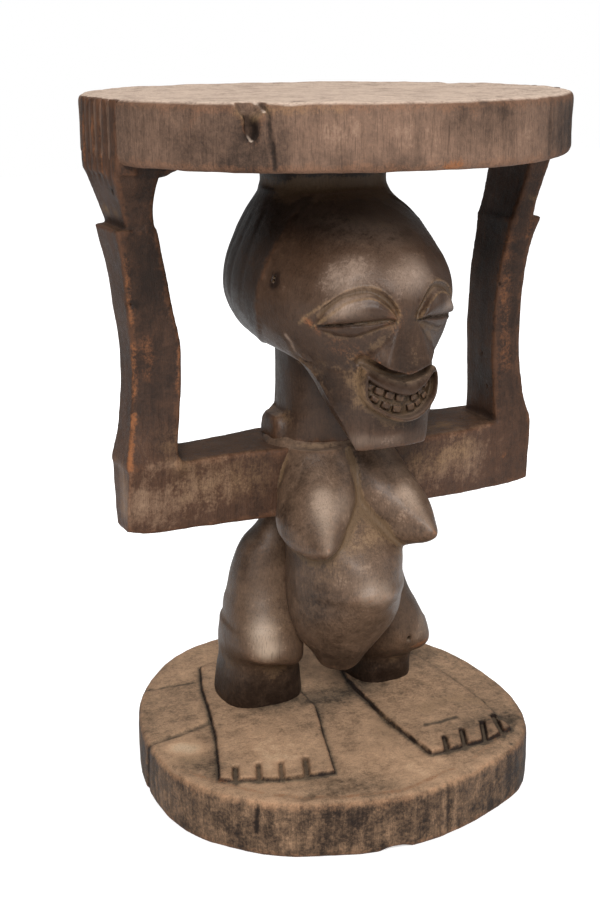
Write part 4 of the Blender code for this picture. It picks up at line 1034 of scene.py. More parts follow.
def carve_head(sizes):
    """The head with its face, coiffure, neck and the block that bears the seat."""
    low_z, high_z = TRUNK_HIGH[2] - NECK_SUNK, SEAT_LOW[2] + SEAT_SUNK
    half, deep = sizes.head_half_width + SPARE, sizes.head_half_length * HEAD_ROOM
    mouth = [HEAD_LOW[2] + level for level in MOUTH_LEVELS]
    clay = Clay((
        samples(-half, half, COARSE, [(-FACE_HALF, FACE_HALF, FINE), (-EAR_AT[0], -FACE_HALF, LIMB),
                                      (-MOUTH_HALF, MOUTH_HALF, MOUTH_FINE)]),
        samples(-deep, deep, COARSE, [(-deep, FACE_DEPTH - deep, FINE), (*EAR_AT[1:], FINE),
                                      (-deep, MOUTH_DEPTH - deep, MOUTH_FINE)]),
        samples(low_z, high_z, COARSE, [(HEAD_LOW[2], HEAD_LOW[2] + FACE_RISE, FINE),
                                        (*mouth, MOUTH_FINE)])))
    clay.add(egg_column(clay, sections(HEAD_SHARES, HEAD_LOW[2], HEAD_HEIGHT,
                                       sizes.head_half_length, sizes.head_half_width)))
    crown = clay.part((-half, -deep, HEAD_LOW[2] + FACE_RISE), (half, deep, high_z))
    pad = sections(moved(PAD_SHARES, PAD_SET_BACK_SHARE), HEAD_HIGH[2] - PAD_SUNK,
                   high_z - HEAD_HIGH[2] + PAD_SUNK - SEAT_CUT, sizes.pad_radius, sizes.pad_radius,
                   PAD_POWERS)
    crown.add(egg_column(crown, pad), sizes.pad_blend)
    throat = clay.part((-half, -deep, low_z), (half, deep, HEAD_LOW[2] + FACE_RISE / 2))
    neck = sections(moved(NECK_SHARES, NECK_SET_BACK_SHARE), low_z + SEAT_CUT, FACE_RISE / 2 + NECK_SUNK,
                    sizes.neck_radius, sizes.neck_radius, NECK_POWERS)
    throat.add(egg_column(throat, neck), NECK_BLEND)
    block = np.array([(TRUNK_HIGH[2] + level, *rest) for level, *rest in NECK_BLOCK])
    throat.add(egg_column(throat, block), BLOCK_BLEND)
    face = clay.part((-half, -deep, HEAD_LOW[2] - SPARE), (half, HAIR_FRONT, HEAD_LOW[2] + FACE_RISE))
    front = 1 - ease(face.y, -FACE_FADE_START, -FACE_FADE_END)
    cavity, _ = near_line(face.x, face.z, refined(on_face(sizes, CAVITY_LINE), LINE_STEPS))
    relief = eye_height(sizes, -np.abs(face.x), face.z) + groove(cavity, CAVITY_WIDTH, CAVITY_DEPTH)
    face.swell((relief * front).astype(np.float32))
    face.add(nose_form(sizes, face), NOSE_BLEND)
    carve_mouth(sizes, face)
    for side, line in itertools.product((-1, 1), JAW_EDGES):
        jaw = refined(on_head(sizes, line, side), LINE_STEPS)
        face.swell(-groove(stroke(face, jaw), JAW_WIDTH, JAW_RISE))
    bore(clay, HEAD_HOLES)
    carve_coiffure(sizes, clay)
    return clay


def carve_coiffure(sizes, clay):
    """The step of the coiffure behind the hairline, and its upright grooves."""
    behind = clay.y - hairline_at(sizes, clay.z)
    rise = ease(behind, -HAIR_EDGE, HAIR_EDGE) * (clay.z < HEAD_HIGH[2] - HAIR_EDGE)
    turn = np.arctan2(clay.x, clay.y - sizes.head_half_length * HAIR_CENTRE_SHARE)
    turn = turn * HAIR_GROOVES / (2 * math.pi)
    flute = np.abs(turn - np.round(turn)) / HAIR_GROOVE_SHARE
    flute = flute + 3 * (1 - ease(behind, HAIR_GROOVE_BACK, HAIR_GROOVE_BACK * 2))
    fade = ease(clay.z, HAIR_GROOVE_LOW, HAIR_GROOVE_LOW + SPARE)
    fade = fade * (1 - ease(clay.z, HAIR_GROOVE_HIGH, HEAD_HIGH[2]))
    step = sizes.hair_rise * rise * (np.exp(-np.maximum(behind, 0) / HAIR_SWEEP) - HAIR_SINK_SHARE)
    clay.swell((step + groove(flute, 1, sizes.hair_groove) * rise * fade).astype(np.float32))


def moved(shares, back):
    """The same sections set back by a share of their reach."""
    return [(level, front + back, widest + back, rear + back, half)
            for level, front, widest, rear, half in shares]


def breast_space(sizes, clay, side):
    """The same block with its across axis bent, so that a breast splays outward."""
    bent = Clay(clay.axes, clay.field)
    root = -sizes.breast_reach * BREAST_ROOT_SHARE
    bent.x = clay.x - side * BREAST_SPLAY * np.maximum(0, root - clay.y)
    return bent


def carve_trunk(sizes):
    """The torso with its breasts, navel and loin wedge."""
    low, high = TRUNK_LOW[2] - WEDGE_DROP - SPARE, TRUNK_HIGH[2] + SPARE
    half, front = sizes.torso_half_width + SPARE * 2, -sizes.breast_reach - SPARE
    clay = Clay((samples(-half, half, LIMB), samples(front, sizes.torso_reach, LIMB),
                 samples(low, high, LIMB)))
    height = TRUNK_HIGH[2] - TRUNK_LOW[2]
    torso = [(*row, BELLY_POWER if abs(row[0] - NAVEL_RISE_SHARE) < BELLY_SPAN else 2.0, 2.0)
             for row in TORSO_SHARES]
    clay.add(egg_column(clay, sections(torso, TRUNK_LOW[2], height, sizes.torso_reach,
                                       sizes.torso_half_width)))
    wedge = sections(WEDGE_SHARES, TRUNK_LOW[2] - WEDGE_DROP, WEDGE_DROP + WEDGE_LAP, WEDGE_REACH,
                     WEDGE_HALF, middles=WEDGE_MIDDLES)
    clay.add(egg_column(clay, wedge), WEDGE_BLEND)
    for side in (-1, 1):
        bent = breast_space(sizes, clay, side)
        middles = [side * sizes.breast_spread * share for share in BREAST_SPREAD_SHARES]
        rows = sections(BREAST_SHARES, BREAST_LOW, BREAST_HEIGHT, sizes.breast_reach,
                        sizes.breast_half_width, middles=middles)
        bent.add(egg_column(bent, rows), BREAST_BLEND)
    level = TRUNK_LOW[2] + height * NAVEL_RISE_SHARE
    navel, _ = near_line(clay.x, clay.z, [(x, level + z) for x, z in NAVEL_LINE])
    clay.swell(-groove(navel, NAVEL_PINCH * 2, NAVEL_PINCH) * (clay.y < 0))
    return clay


def carve_leg(sizes, side):
    """A thigh on its lower leg: a sharp crease under the knee, running out at the calf."""
    table, stance, shin, (rise, slope) = LEGS[side]
    stance = [sizes.base_radius * share for share in stance]
    middle, half, front, back = (sizes.base_radius * share for share in shin)
    spread = half + SPARE * 2
    low_z, high_z = BASE_TOP - HIDDEN, BAR_LOW[2] + HIDDEN
    clay = Clay((samples(min(middle, *stance) - spread, max(middle, *stance) + spread, LIMB),
                 samples(-THIGH_FRONT, THIGH_BACK, LIMB), samples(low_z, high_z, LIMB)))
    thigh = egg_column(clay, sections(table, KNEE_LEVEL, THIGH_HEIGHT, sizes.thigh_reach,
                                      sizes.thigh_half_width, middles=stance))
    crease = wall(clay, (stance[0], 0.0, KNEE_LEVEL + rise), (slope, 0.0, -1.0))
    clay.add(smooth_max(thigh, crease, KNEE_EDGE))
    centre, depth = (front + back) / 2, (back - front) / 2
    top = KNEE_LEVEL + rise + KNEE_LAP
    rows = [(low_z + level, *rest) for level, *rest in SHIN_LOW_ROWS]
    rows += [(top + level, *rest) for level, *rest in SHIN_TOP_ROWS]
    rows = [(level, centre - depth * deep - SHIN_LEAN * lean, centre, centre + depth * deep,
             half * wide, *SHIN_POWERS, middle) for level, deep, wide, lean in rows]
    outside = ease(side * (clay.x - middle), *(half * share for share in CALF_OUT))
    outside = outside * ease(clay.y, *CALF_BACK)
    clay.add(egg_column(clay, np.array(rows)), KNEE_CREASE + CALF_BLEND * outside)
    bore(clay, LEG_HOLES)
    return clay


def rim_x(sizes, side):
    """Where the seat's outline crosses the line of the arms."""
    share = SEAT_RADIUS_SHARES[0 if side > 0 else len(SEAT_RADIUS_SHARES) // 2]
    return side * sizes.seat_radius * share + sizes.seat_off_x


def arm_rows(sizes, rows, bottom, height, side):
    """Corners of the arm's sections in metres, turning the same way on both sides."""
    depth = sizes.arm_depth
    out = []
    for level, outer, inner, outer_front, outer_back, inner_front, inner_back in rows:
        corners = [(outer, depth * outer_front), (inner, depth * inner_front),
                   (inner, depth * inner_back), (outer, depth * outer_back)]
        corners = corners if side < 0 else corners[::-1]
        out.append((bottom + height * level, *itertools.chain(*corners)))
    return np.array(refined(out, SECTION_STEPS))


def carve_arm(sizes, side):
    """Half of the shoulder bar, the forearm on its end and the hand on the seat's rim."""
    word, forearm, bar_rows, hand = ARMS[side]
    wrist_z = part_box(word + "_forearm")[1][2]
    depth, long, rim = sizes.arm_depth, side * sizes.bar_half_length, rim_x(sizes, side)
    near, far = sorted((side * BAR_INNER, side * (abs(rim) + SPARE)))
    clay = Clay((samples(near, far, LIMB), samples(-depth, depth * ARM_ROOM, LIMB),
                 samples(BAR_LOW[2] - SPARE, SEAT_HIGH[2] + SPARE, LIMB)))
    forearm = [(level, long * outer, long * inner, *rest) for level, outer, inner, *rest in forearm]
    forearm = arm_rows(sizes, forearm, BAR_HIGH[2], wrist_z - BAR_HIGH[2], side)
    clay.add(quad_column(clay, forearm, sizes.arm_edge))
    bar = Clay((clay.axes[1], clay.axes[2], clay.axes[0]), clay.field.transpose(1, 2, 0))
    rows, height = [], BAR_HIGH[2] - BAR_LOW[2]
    for place, front_low, front_high, back_low, back_high, low, high in bar_rows:
        low, high = BAR_LOW[2] + height * low, BAR_LOW[2] + height * high
        rows.append((long * place, depth * front_low, low, depth * back_low, low,
                     depth * back_high, high, depth * front_high, high))
    rows = refined(rows, SECTION_STEPS)
    inner_side = 1 - ease(side * clay.axes[0], *(sizes.bar_half_length * share for share in FILLET_SHARES))
    bar.add(quad_column(bar, np.array(rows if side > 0 else rows[::-1]), sizes.arm_edge),
            FOREARM_FILLET * inner_side)
    palm = clay.part((near, -depth, wrist_z - WRIST_ROOM), (far, depth * ARM_ROOM, SEAT_HIGH[2] + SPARE))
    wrist_x, rows = long * WRIST_SHARE, []
    for level, way, thick, *rest in hand:
        outer = wrist_x + (rim - wrist_x) * way
        rows.append((level, outer, outer - side * depth * thick, *rest))
    palm_rows = arm_rows(sizes, rows, wrist_z, SEAT_LOW[2] - wrist_z, side)
    palm.add(quad_column(palm, palm_rows, sizes.arm_edge), LEAST_GAP)
    carve_fingers(sizes, palm)
    if side < 0:
        for middle, radii in in_metres(JAGS):
            palm.add(ball(palm, middle, radii))
    bore(clay, ARM_HOLES)
    return clay


def carve_fingers(sizes, palm):
    """The slab of fingers that lies on the seat's rim, and the grooves between them."""
    depth = sizes.arm_depth
    outline = disc_gap(palm, sizes.seat_radius, SEAT_RADIUS_SHARES, (sizes.seat_off_x, sizes.seat_off_y))
    slab = np.maximum(outline - FINGER_PROUD, -outline - sizes.finger_reach)
    slab = np.maximum(slab, np.maximum(palm.z - SEAT_HIGH[2] + FINGER_TOP_GAP,
                                       SEAT_LOW[2] - FINGER_DROP - palm.z))
    slab = np.maximum(slab, np.maximum(depth * FINGER_FRONT_SHARE - palm.y,
                                       palm.y - depth * FINGER_BACK_SHARE))
    palm.add(slab, WRIST_FILLET)
    palm.keep(outline - FINGER_PROUD - FINGER_TIP, FINGER_EDGE)
    grooves = sum(groove(palm.y - depth * share, FINGER_GROOVE_WIDTH, sizes.finger_groove)
                  for share in FINGER_GROOVE_SHARES)
    grooves = grooves * ease(palm.z, SEAT_LOW[2] - FINGER_GROOVE_DROP, SEAT_LOW[2])
    palm.swell((grooves * (1 - ease(-outline, *FINGER_SKIN))).astype(np.float32))


def disc_gap(clay, radius, shares, centre):
    """Distance outside an uneven round outline."""
    x, y = clay.x - centre[0], clay.y - centre[1]
    turn = np.arctan2(y, x) / (2 * math.pi) % 1 * len(shares)
    table = np.array(refined([(share,) for share in shares], SECTION_STEPS, closed=True))[:, 0]
    table = np.append(table, table[0])
    return np.hypot(x, y) - radius * np.interp(turn * SECTION_STEPS, np.arange(len(table)), table)


def carve_seat(sizes):
    """The round seat: a slab with a worn top, chipped rims and a deep check in front."""
    reach = sizes.seat_radius * SEAT_ROOM
    x_mid, y_mid = sizes.seat_off_x, sizes.seat_off_y
    clay = Clay((samples(x_mid - reach, x_mid + reach, BROAD, SEAT_FINE_X),
                 samples(y_mid - reach, y_mid + reach, BROAD, SEAT_FINE_Y),
                 samples(SEAT_LOW[2] - SPARE, SEAT_HIGH[2] + SPARE, LIMB)))
    outline = disc_gap(clay, sizes.seat_radius, SEAT_RADIUS_SHARES, (x_mid, y_mid))
    dish = SEAT_DISH * (1 - np.clip(1 + outline / sizes.seat_radius, 0, 1) ** 2)
    top = clay.z - SEAT_HIGH[2] + dish + SKIN_ROOM
    slab = smooth_max(outline, top, sizes.rim_edge * TOP_ROUNDING)
    clay.add(smooth_max(slab, SEAT_LOW[2] + SKIN_ROOM - clay.z, sizes.rim_edge * LOW_ROUNDING))
    chip(clay, SEAT_CHIPS)
    crack(clay, SEAT_CRACKS)
    return clay


def carve_base(sizes):
    """The round base with both feet in low relief on it, toes to the front."""
    reach = sizes.base_radius * BASE_ROOM
    clay = Clay((samples(-reach, reach, BROAD, BASE_FINE_X), samples(-reach, reach, BROAD, BASE_FINE_Y),
                 samples(-SPARE, BASE_TOP + SPARE, LIMB, BASE_FINE_Z)))
    outline = disc_gap(clay, sizes.base_radius, BASE_RADIUS_SHARES, (0.0, 0.0))
    slab = smooth_max(outline, clay.z - BASE_TOP, sizes.rim_edge * TOP_ROUNDING)
    clay.add(smooth_max(slab, -clay.z, sizes.rim_edge))
    sole = np.minimum(*(within(clay.x, clay.y, on_base(sizes, foot)) for foot in FEET))
    for slot in TOE_SLOTS:
        gap, _ = near_line(clay.x, clay.y, on_base(sizes, slot))
        sole = np.maximum(sole, sizes.toe_slot - gap)
    instep, _ = near_line(clay.x, clay.y, refined(on_base(sizes, LEFT_INSTEP), LINE_STEPS))
    relief = sizes.foot_relief * ease(-sole, -FOOT_EDGE, FOOT_EDGE) + groove(instep, FOOT_EDGE, FOOT_EDGE)
    clay.swell((relief * (outline < -FOOT_EDGE) * (clay.z > BASE_TOP - SPARE)).astype(np.float32))
    chip(clay, BASE_CHIPS)
    crack(clay, BASE_CRACKS)
    return clay

# Old damage, where hands and dust have left their marks, and painted highlights, shadow and shade; in
# millimetres

# Worm holes and pegs of lost wood: from, to and radius
ARM_HOLES = (
    ((-147, -18.1, 389.6), (-139, -17, 388.6), 1.2), ((-138.5, -12.4, 323), (-130.5, -9.6, 323.2), 1.1),
    ((-137, -12.4, 323), (-129, -9.2, 323.2), 1.1), ((-133.5, -4.5, 285.2), (-128, -2, 285.2), 0.9),
    ((114.3, -16, 315.8), (114.6, -8, 315.8), 0.9), ((128.2, -17, 313.6), (127.6, -9, 313.6), 0.9),
    ((108.6, 0.7, 267.9), (115, 1.5, 267.9), 1), ((110.6, -5.5, 245.9), (116, -4, 245.9), 0.9),
    ((98.4, 3.3, 223.9), (98.4, 4, 217), 0.9),
)
LEG_HOLES = (
    ((53.6, -9, 77.2), (55, 1, 76.6), 1.6),
)
HEAD_HOLES = (
    ((-63, -43.4, 337.6), (-54, -37.8, 337.2), 1), ((-63, -43.4, 335.6), (-54, -37.8, 335.2), 1.1),
)
# Chips: middle and radii of each bite out of a rim
SEAT_CHIPS = (
    ((-103.4, -106.5, 443), (9, 7, 5.2)), ((-84, -121, 443.4), (11, 8, 5.6)),
    ((-66.5, -131, 443.6), (10, 7, 5.2)), ((-30, -145, 443.6), (14, 7, 5)),
    ((-98.6, -107.2, 442), (7.2, 12, 11.2)), ((-98.2, -107.4, 429), (2.6, 9, 9)),
    ((12, -146, 402), (10, 6, 4)), ((60, -130, 443.8), (10, 6, 4.6)),
    ((-8.6, -146.4, 403.5), (6, 6, 4)), ((-118, -92, 443.4), (8, 7, 4.4)),
    ((122, 68, 443.4), (10, 10, 5)),
)
BASE_CHIPS = (
    ((-128, -40, 40.6), (6, 10, 5.2)), ((-70, -102, 40.4), (10, 7, 4.8)), ((96, -72, 40.6), (10, 9, 5)),
    ((40, -118, 40.6), (12, 6, 4.6)), ((96, 58, 40.8), (9, 10, 5.2)), ((-20, -127.6, -1.2), (12, 6, 4)),
)
# Checks: half width, depth and the line of each crack
SEAT_CRACKS = (
    (0.8, 3.4, (-92.4, -98, 440), (-91.7, -113.3, 434.9), (-91, -113.8, 426), (-89.8, -114.7, 416.1),
     (-88.7, -115.5, 403)),
    (1.2, 2.6, (74, -122, 439), (73, -123, 420), (74.6, -122, 404)),
    (0.8, 1.2, (-60, -70, 440), (-18, -30, 440), (30, -8, 440)),
)
BASE_CRACKS = (
    (1.4, 5.2, (-133, -0.5, 37), (-112, 3, 37), (-98, 6, 37), (-84, 11, 37)),
    (1.4, 5.2, (-132.4, 0, 36), (-131.4, 1.5, 24.3), (-131, 5.2, -1)),
    (0.9, 2.4, (-96.2, -95.8, 38), (-97.4, -95, 16)),
    (0.9, 2.6, (16.4, -126.6, 38), (17.4, -126.6, 2)),
    (0.9, 1.8, (-118, 76, 37), (-96, 72.6, 37), (-74, 70, 37)),
    (0.8, 1.6, (78, -100, 38), (79, -101, 12)),
)

# Marks of each piece, in three tables: tone from darker to lighter, which carries painted highlights,
# painted shadow and painted shade as well as the wood's own tone; places rubbed down to the bare
# reddish wood; and pale dust. A mark is its amount, its radius and its places, in millimetres.
MARKS = {
    "carved_head": ((
        # Painted highlights on the forehead, the lids, the nose and the chin
        (0.6, 14.5, (-32, -80.8, 341), (-28, -83, 345)),
        (0.66, 13, (0.6, -94.7, 342), (9, -91, 344)),
        (0.65, 5, (-42, -79, 322), (-34, -85, 325), (-24, -88, 325)),
        (0.5, 4.5, (26, -90, 323), (36, -86, 322)),
        (0.3, 5, (-10, -98, 306), (-12, -96, 298)),
        (0.4, 6, (-27, -80, 245), (-16, -83.5, 246), (2, -84, 245.5)),
        (0.15, 12, (-46, -62, 320), (-50, -55, 330)),
        # Painted shade under the nose
        (-0.5, 8, (-16, -84, 290), (2, -86, 281), (20, -84, 289)),
        (-0.15, 14, (-40, -50, 300), (-34, -66, 292)),
        (-0.35, 8, (-6, -97, 302), (-4, -98, 292), (4, -97, 290)),
        # Painted highlight on the edge of the nose
        (0.3, 1.6, (-13, -92, 300), (-11, -94, 292)),
        # Painted shade under the mouth, and under the jaw round the neck
        (-0.45, 7, (-10, -84, 254), (4, -86, 252.4), (16, -83, 255)),
        (-0.25, 20, (-24, 6, 256), (0, -6, 250)),
        (0.9, 1.6, (-53.4, -46.8, 304), (-51, -48.2, 299.7), (-47.6, -46, 293)),
        # Painted shade in the ear hole
        (-2.2, 3.4, (-59, -41.4, 338), (-59, -41.4, 335)),
        (-0.3, 10, (-30, -72, 264), (-36, -60, 276)),
    ), (
        (0.45, 2, (-20, -92, 295), (-10, -95.6, 289.4), (-3, -97.4, 286.4), (6, -96.8, 286.2),
         (18, -93, 291)),
        (0.45, 2.4, (-48, -63, 316), (-45, -67, 312.5), (-42, -69, 309.5)),
        (0.3, 10, (-30, -76, 302), (-24, -84, 292)),
        (0.3, 8, (-8, -94, 320), (-8, -97, 312)),
    ), (
        (0.3, 12, (-40, -40, 292), (-36, -56, 276)),
        (0.35, 6, (-27, -77, 284), (-25, -82, 276), (-23, -80, 268)),
        (0.35, 10, (-28, 4, 240), (-30, 20, 236)),
        (0.3, 5, (-25, -78, 300), (-27, -80, 292)),
    )),
    "trunk": ((
        # Painted highlights on the ridges of the breasts
        (0.48, 7, (-30, -47, 204), (-32, -56, 196), (-34, -64, 186), (-36, -71, 178.5)),
        (0.5, 6, (26, -52, 200), (31, -60, 192), (35, -68, 182)),
        (0.35, 12, (-30, -50, 196), (24, -50, 196)),
        # Painted highlight on the ridge at the navel
        (0.45, 10, (-6, -69, 142), (2, -70, 141)),
        (-0.5, 26, (0, 34, 228), (0, 34, 204)),
        (0.2, 20, (-22, -52, 152), (-10, -58, 160)),
        (-0.45, 9, (-14, -40, 226), (14, -40, 226)),
        # Painted shade between the thighs
        (-0.4, 14, (-20, -30, 82), (14, -30, 84)),
        (-0.3, 9, (-50, -30, 196), (-44, -38, 176)),
        (-0.25, 10, (14, -46, 196), (18, -44, 214)),
        # Painted shade in the valley between belly and thigh
        (-0.35, 12, (-34, -44, 136), (-38, -36, 118)),
    ), (
        (0.5, 3.4, (-35.6, -69, 181), (-36, -71, 177.4)),
        (0.5, 3.2, (34, -68, 180), (36, -71, 177)),
        (0.35, 3.4, (-8, -68, 137), (-3, -70.6, 139), (3, -70.4, 138.4)),
    ), (
        (0.4, 12, (-24, -46, 158), (-6, -48, 166), (6, -48, 174)),
        (0.45, 5, (-1, -46, 190), (0, -44, 206)),
        (0.35, 8, (-42, -34, 150), (-38, -40, 128)),
        (0.4, 10, (24, -46, 158), (32, -36, 170)),
        (0.35, 5, (-47, -26, 224), (-50, -26, 200)),
    )),
    "right_leg": ((
        # Painted highlight on the knee
        (1.0, 9, (-49.8, -4, 90), (-50.4, -1, 97)),
        (0.2, 14, (-50, 4, 110), (-50, 12, 120)),
        (-0.3, 16, (-46, 28, 150), (-56, 30, 140)),
    ), (
        (0.2, 3, (-58, -5, 82), (-46, -8, 78)),
    ), (
        (0.3, 10, (-42, -2, 100), (-38, 6, 112)),
    )),
    "left_leg": ((
        # Painted highlight on the knee
        (0.3, 7, (60, -6, 78), (64, -2, 86)),
        (-0.2, 14, (52, 6, 110), (44, 14, 120)),
    ), (
        (0.45, 3, (58, -9, 69), (68, -4, 71), (74, 3, 75)),
    ), (
        (0.25, 10, (50, 6, 96), (46, 14, 106)),
    )),
    "right_arm": ((
        (-0.55, 18, (-118, -14, 340), (-122, -18, 372), (-124, -24, 398)),
        (-0.35, 18, (-120, -10, 260), (-118, -12, 330)),
        (0.5, 14, (-136, -30, 190), (-136, -10, 200)),
        (0.45, 20, (-122, -10, 200), (-86, -6, 204)),
        (0.3, 10, (-141, 0, 200), (-140, 4, 240)),
        (0.45, 3, (-128, -14, 224), (-92, -9, 223.5), (-60, -8, 223)),
        # Painted shade in two worm holes
        (-1.6, 2.2, (-137, -12, 323), (-133, -10.6, 323)),
        (-1.4, 1.8, (-145.4, -18.1, 389.4), (-144, -18, 389)),
    ), (
        (0.4, 2.4, (-139.4, -17, 352), (-136.8, -13, 336), (-134.4, -10, 310)),
        (0.5, 2.6, (-133.4, -6, 298), (-132.4, -4, 284), (-133.2, -4.5, 264)),
        (0.75, 2.6, (-134, -5, 256), (-136.4, -7, 244), (-139.6, -11, 230), (-140, -13, 226)),
        (0.4, 2, (-106, -12, 312), (-106.6, -12.4, 290), (-108.6, -12.4, 268)),
        (0.3, 5, (-125, -8, 300), (-125, -8, 280)),
        (0.4, 2.6, (-149, 20, 428), (-149, 20, 404)),
        (0.4, 2.6, (-149.4, 1, 428), (-147.6, 1, 398)),
        (0.35, 2.6, (-149, -12, 426), (-147, -12, 396)),
        (0.35, 2.6, (-141, -6, 186), (-138, -11, 181), (-128, -9, 178.4)),
    ), (
        (0.5, 3.6, (-142.5, -8, 376), (-138, -14, 376)),
        (0.5, 4, (-141, 6, 376), (-139, 14, 376)),
        (0.3, 12, (-112, -14, 236), (-104, -12, 228)),
        (0.3, 18, (-100, -10, 205), (-60, -8, 208)),
    )),
    "left_arm": ((
        (-0.5, 14, (112, 6, 250), (110, 6, 300), (116, 6, 350)),
        (-0.4, 14, (132, -8, 390), (126, -10, 372)),
        (0.45, 22, (60, -24, 204), (90, -20, 204)),
        (-0.3, 18, (122, -14, 250), (120, -14, 350)),
        (0.35, 3, (40, -25, 223.5), (80, -20, 223.5), (106, -16, 223.5)),
        (-0.4, 10, (30, -26, 214), (48, -26, 218)),
    ), (
        (0.3, 6, (119, -14, 345), (117, -14.5, 310), (120, -14.5, 262)),
        (0.3, 3, (138, -14, 372), (133, -14, 345)),
        (0.45, 2.6, (121, -14, 200), (119, -14, 199)),
        (0.3, 3, (141, -14, 226), (141, -14, 190)),
    ), (
        (0.5, 4, (140, -14, 371), (134, -14, 371)),
        (0.35, 14, (50, -24, 205), (84, -22, 210)),
        (0.35, 12, (40, -10, 224), (80, -4, 224)),
    )),
    "seat": ((
        # Painted shading of the rim: darker at the left and right sides, lighter in front
        (-0.35, 22, (-112, -92, 420), (-95, -104, 408)),
        (-0.5, 26, (90, -102, 420), (124, -62, 418)),
        (0.25, 18, (-60, -130, 424), (-20, -142, 426)),
        (0.2, 20, (24, -140, 414), (56, -130, 412)),
        # Painted shade in the notch of the deep check
        (-1.5, 3.2, (-98.4, -104, 430), (-98.4, -107, 424)),
        (-0.3, 8, (-30, -140, 408), (-60, -131, 410)),
        (-0.3, 14, (4, -143, 432), (30, -140, 430)),
    ), (
        (0.6, 4, (-4, -143, 406.4), (2, -143, 407)),
        (0.35, 2.8, (-52, -134, 404.4), (-22, -141, 404.4)),
        (0.4, 2.4, (30, -139, 404), (62, -127, 404)),
        (0.3, 2.8, (-118, -86, 436), (-124, -76, 420)),
    ), (
        (0.8, 5, (-98.6, -104, 438), (-98.4, -106, 433)),
        (0.35, 4, (-104, -103, 436), (-78, -122, 436), (-60, -131, 436)),
    )),
    "base": ((
        (1.3, 9, (-114, -14, 37), (-110, -18, 37)),
        (-0.12, 30, (-120, 10, 37), (-104, 50, 37)),
        (-0.3, 26, (70, 70, 37), (104, 30, 37)),
        (0.35, 20, (-66, -44, 40), (-72, -64, 40)),
        (0.25, 22, (-8, -84, 37), (6, -104, 37)),
        # Painted shadow of the figure on the base top, between the legs
        (-0.6, 14, (-44, 14, 37), (-10, 8, 37), (30, 10, 37)),
        (-0.3, 30, (90, -86, 18), (118, -40, 18)),
        (-0.25, 20, (-60, -96, 37), (-20, -116, 37)),
        (-0.35, 12, (-104, -52, 37), (-112, -40, 37)),
        (-0.3, 16, (60, -80, 40), (88, -70, 38)),
    ), (
        (0.4, 2.4, (-124, -40, 36.6), (-108, -66, 36.6), (-90, -88, 36.4)),
        (0.5, 2.4, (-84, -94, 36.4), (-50, -113, 36.6), (-14, -122, 36.6), (28, -112, 36.6)),
        (0.35, 2.4, (46, -106, 36.6), (84, -86, 36.6)),
        (0.3, 3, (-100, -84, 3), (-60, -114, 2.6), (0, -129, 2.6)),
    ), (
        (0.45, 10, (50, -40, 40), (76, -34, 40), (88, -44, 40)),
        (0.35, 10, (20, -36, 37), (12, -60, 37)),
        (0.4, 14, (-104, -16, 37), (-116, -30, 37)),
        (0.3, 10, (-80, -76, 40), (-60, -84, 40)),
    )),
}


def marked(places, table):
    """Amount painted at each place; every mark fades away from its line of places."""
    places = places * 1000
    total = np.zeros(len(places))
    for amount, radius, *line in table:
        best = np.full(len(places), np.inf)
        for start, end in zip(line, line[1:]):
            start, end = np.array(start), np.array(end)
            t = np.clip((places - start) @ (end - start) / np.dot(end - start, end - start), 0, 1)
            best = np.minimum(best, np.linalg.norm(places - start - t[:, None] * (end - start), axis=1))
        total += amount * np.exp(-(best / radius) ** 2)
    return total


def bore(clay, holes):
    """Worm holes; only those that lie in the block are cut."""
    for start, end, radius in in_metres(holes):
        if clay.axes[0][0] < start[0] < clay.axes[0][-1]:
            clay.cut(rod(clay, start, end, radius, radius * HOLE_TAPER))


def chip(clay, chips):
    """Bites out of a rim."""
    for middle, radii in in_metres(chips):
        clay.cut(ball(clay, middle, radii), CHIP_EDGE)


def crack(clay, cracks):
    """Checks in the wood, deepest along their middle."""
    for width, depth, *line in in_metres(cracks):
        clay.swell(groove(stroke(clay, line), width, depth))


def crack_shade(places, cracks):
    """Painted shade in the checks."""
    return marked(places, [(-CRACK_SHADE, width * CRACK_SHADE_SPREAD, *line) for width, _, *line in cracks])


def soil_and_shade_head(places, sizes, marks):
    """Painted shadow on the crown; painted shade on the coiffure, lid slits and mouth; dusty eye and mouth
    rims.
    """
    x, y, z = places.T
    # Painted shadow of the seat on the crown
    marks["tone_and_painted_light"] -= CROWN_SHADOW * ease(z, *CROWN_SHADOW_LEVELS)
    # Painted shade on the coiffure behind the hairline
    marks["tone_and_painted_light"] -= HAIR_SHADE * ease(y - hairline_at(sizes, z), 0.0, SPARE)
    front = ease(-y, FACE_FADE_END, FACE_FADE_START)
    gaps = [near_line(-np.abs(x), z, refined(on_face(sizes, line), LINE_STEPS))[0]
            for line in (LID_RIM, BROW_EDGE, LOWER_LID, LID_SLIT)]
    gaps.insert(3, within(x, z, refined(on_face(sizes, MOUTH_OUTLINE), LINE_STEPS, closed=True)))
    for gap, (width, amount) in zip(gaps, FACE_LINES):
        marks["dusty"] -= front * groove(gap, width, amount)
    # Painted shade in the slit between the lids
    marks["tone_and_painted_light"] += front * groove(gaps[4], SLIT_HALF_WIDTH, SLIT_SHADE)
    between = front * (1 - ease(opening_gap(sizes, x, z), -LEAST_GAP, LEAST_GAP / 2))
    deep = sizes.teeth_recess * TEETH_SHADE_SHARE
    behind = ease(y - lip_front(sizes, x), TEETH_SET_BACK + LEAST_GAP, deep)
    marks["dusty"] += between * (TEETH_DUST - behind)
    marks["dusty"] = np.clip(marks["dusty"], 0, 1)
    # Painted shade deep in the open mouth
    marks["tone_and_painted_light"] -= between * behind * SLIT_SHADE


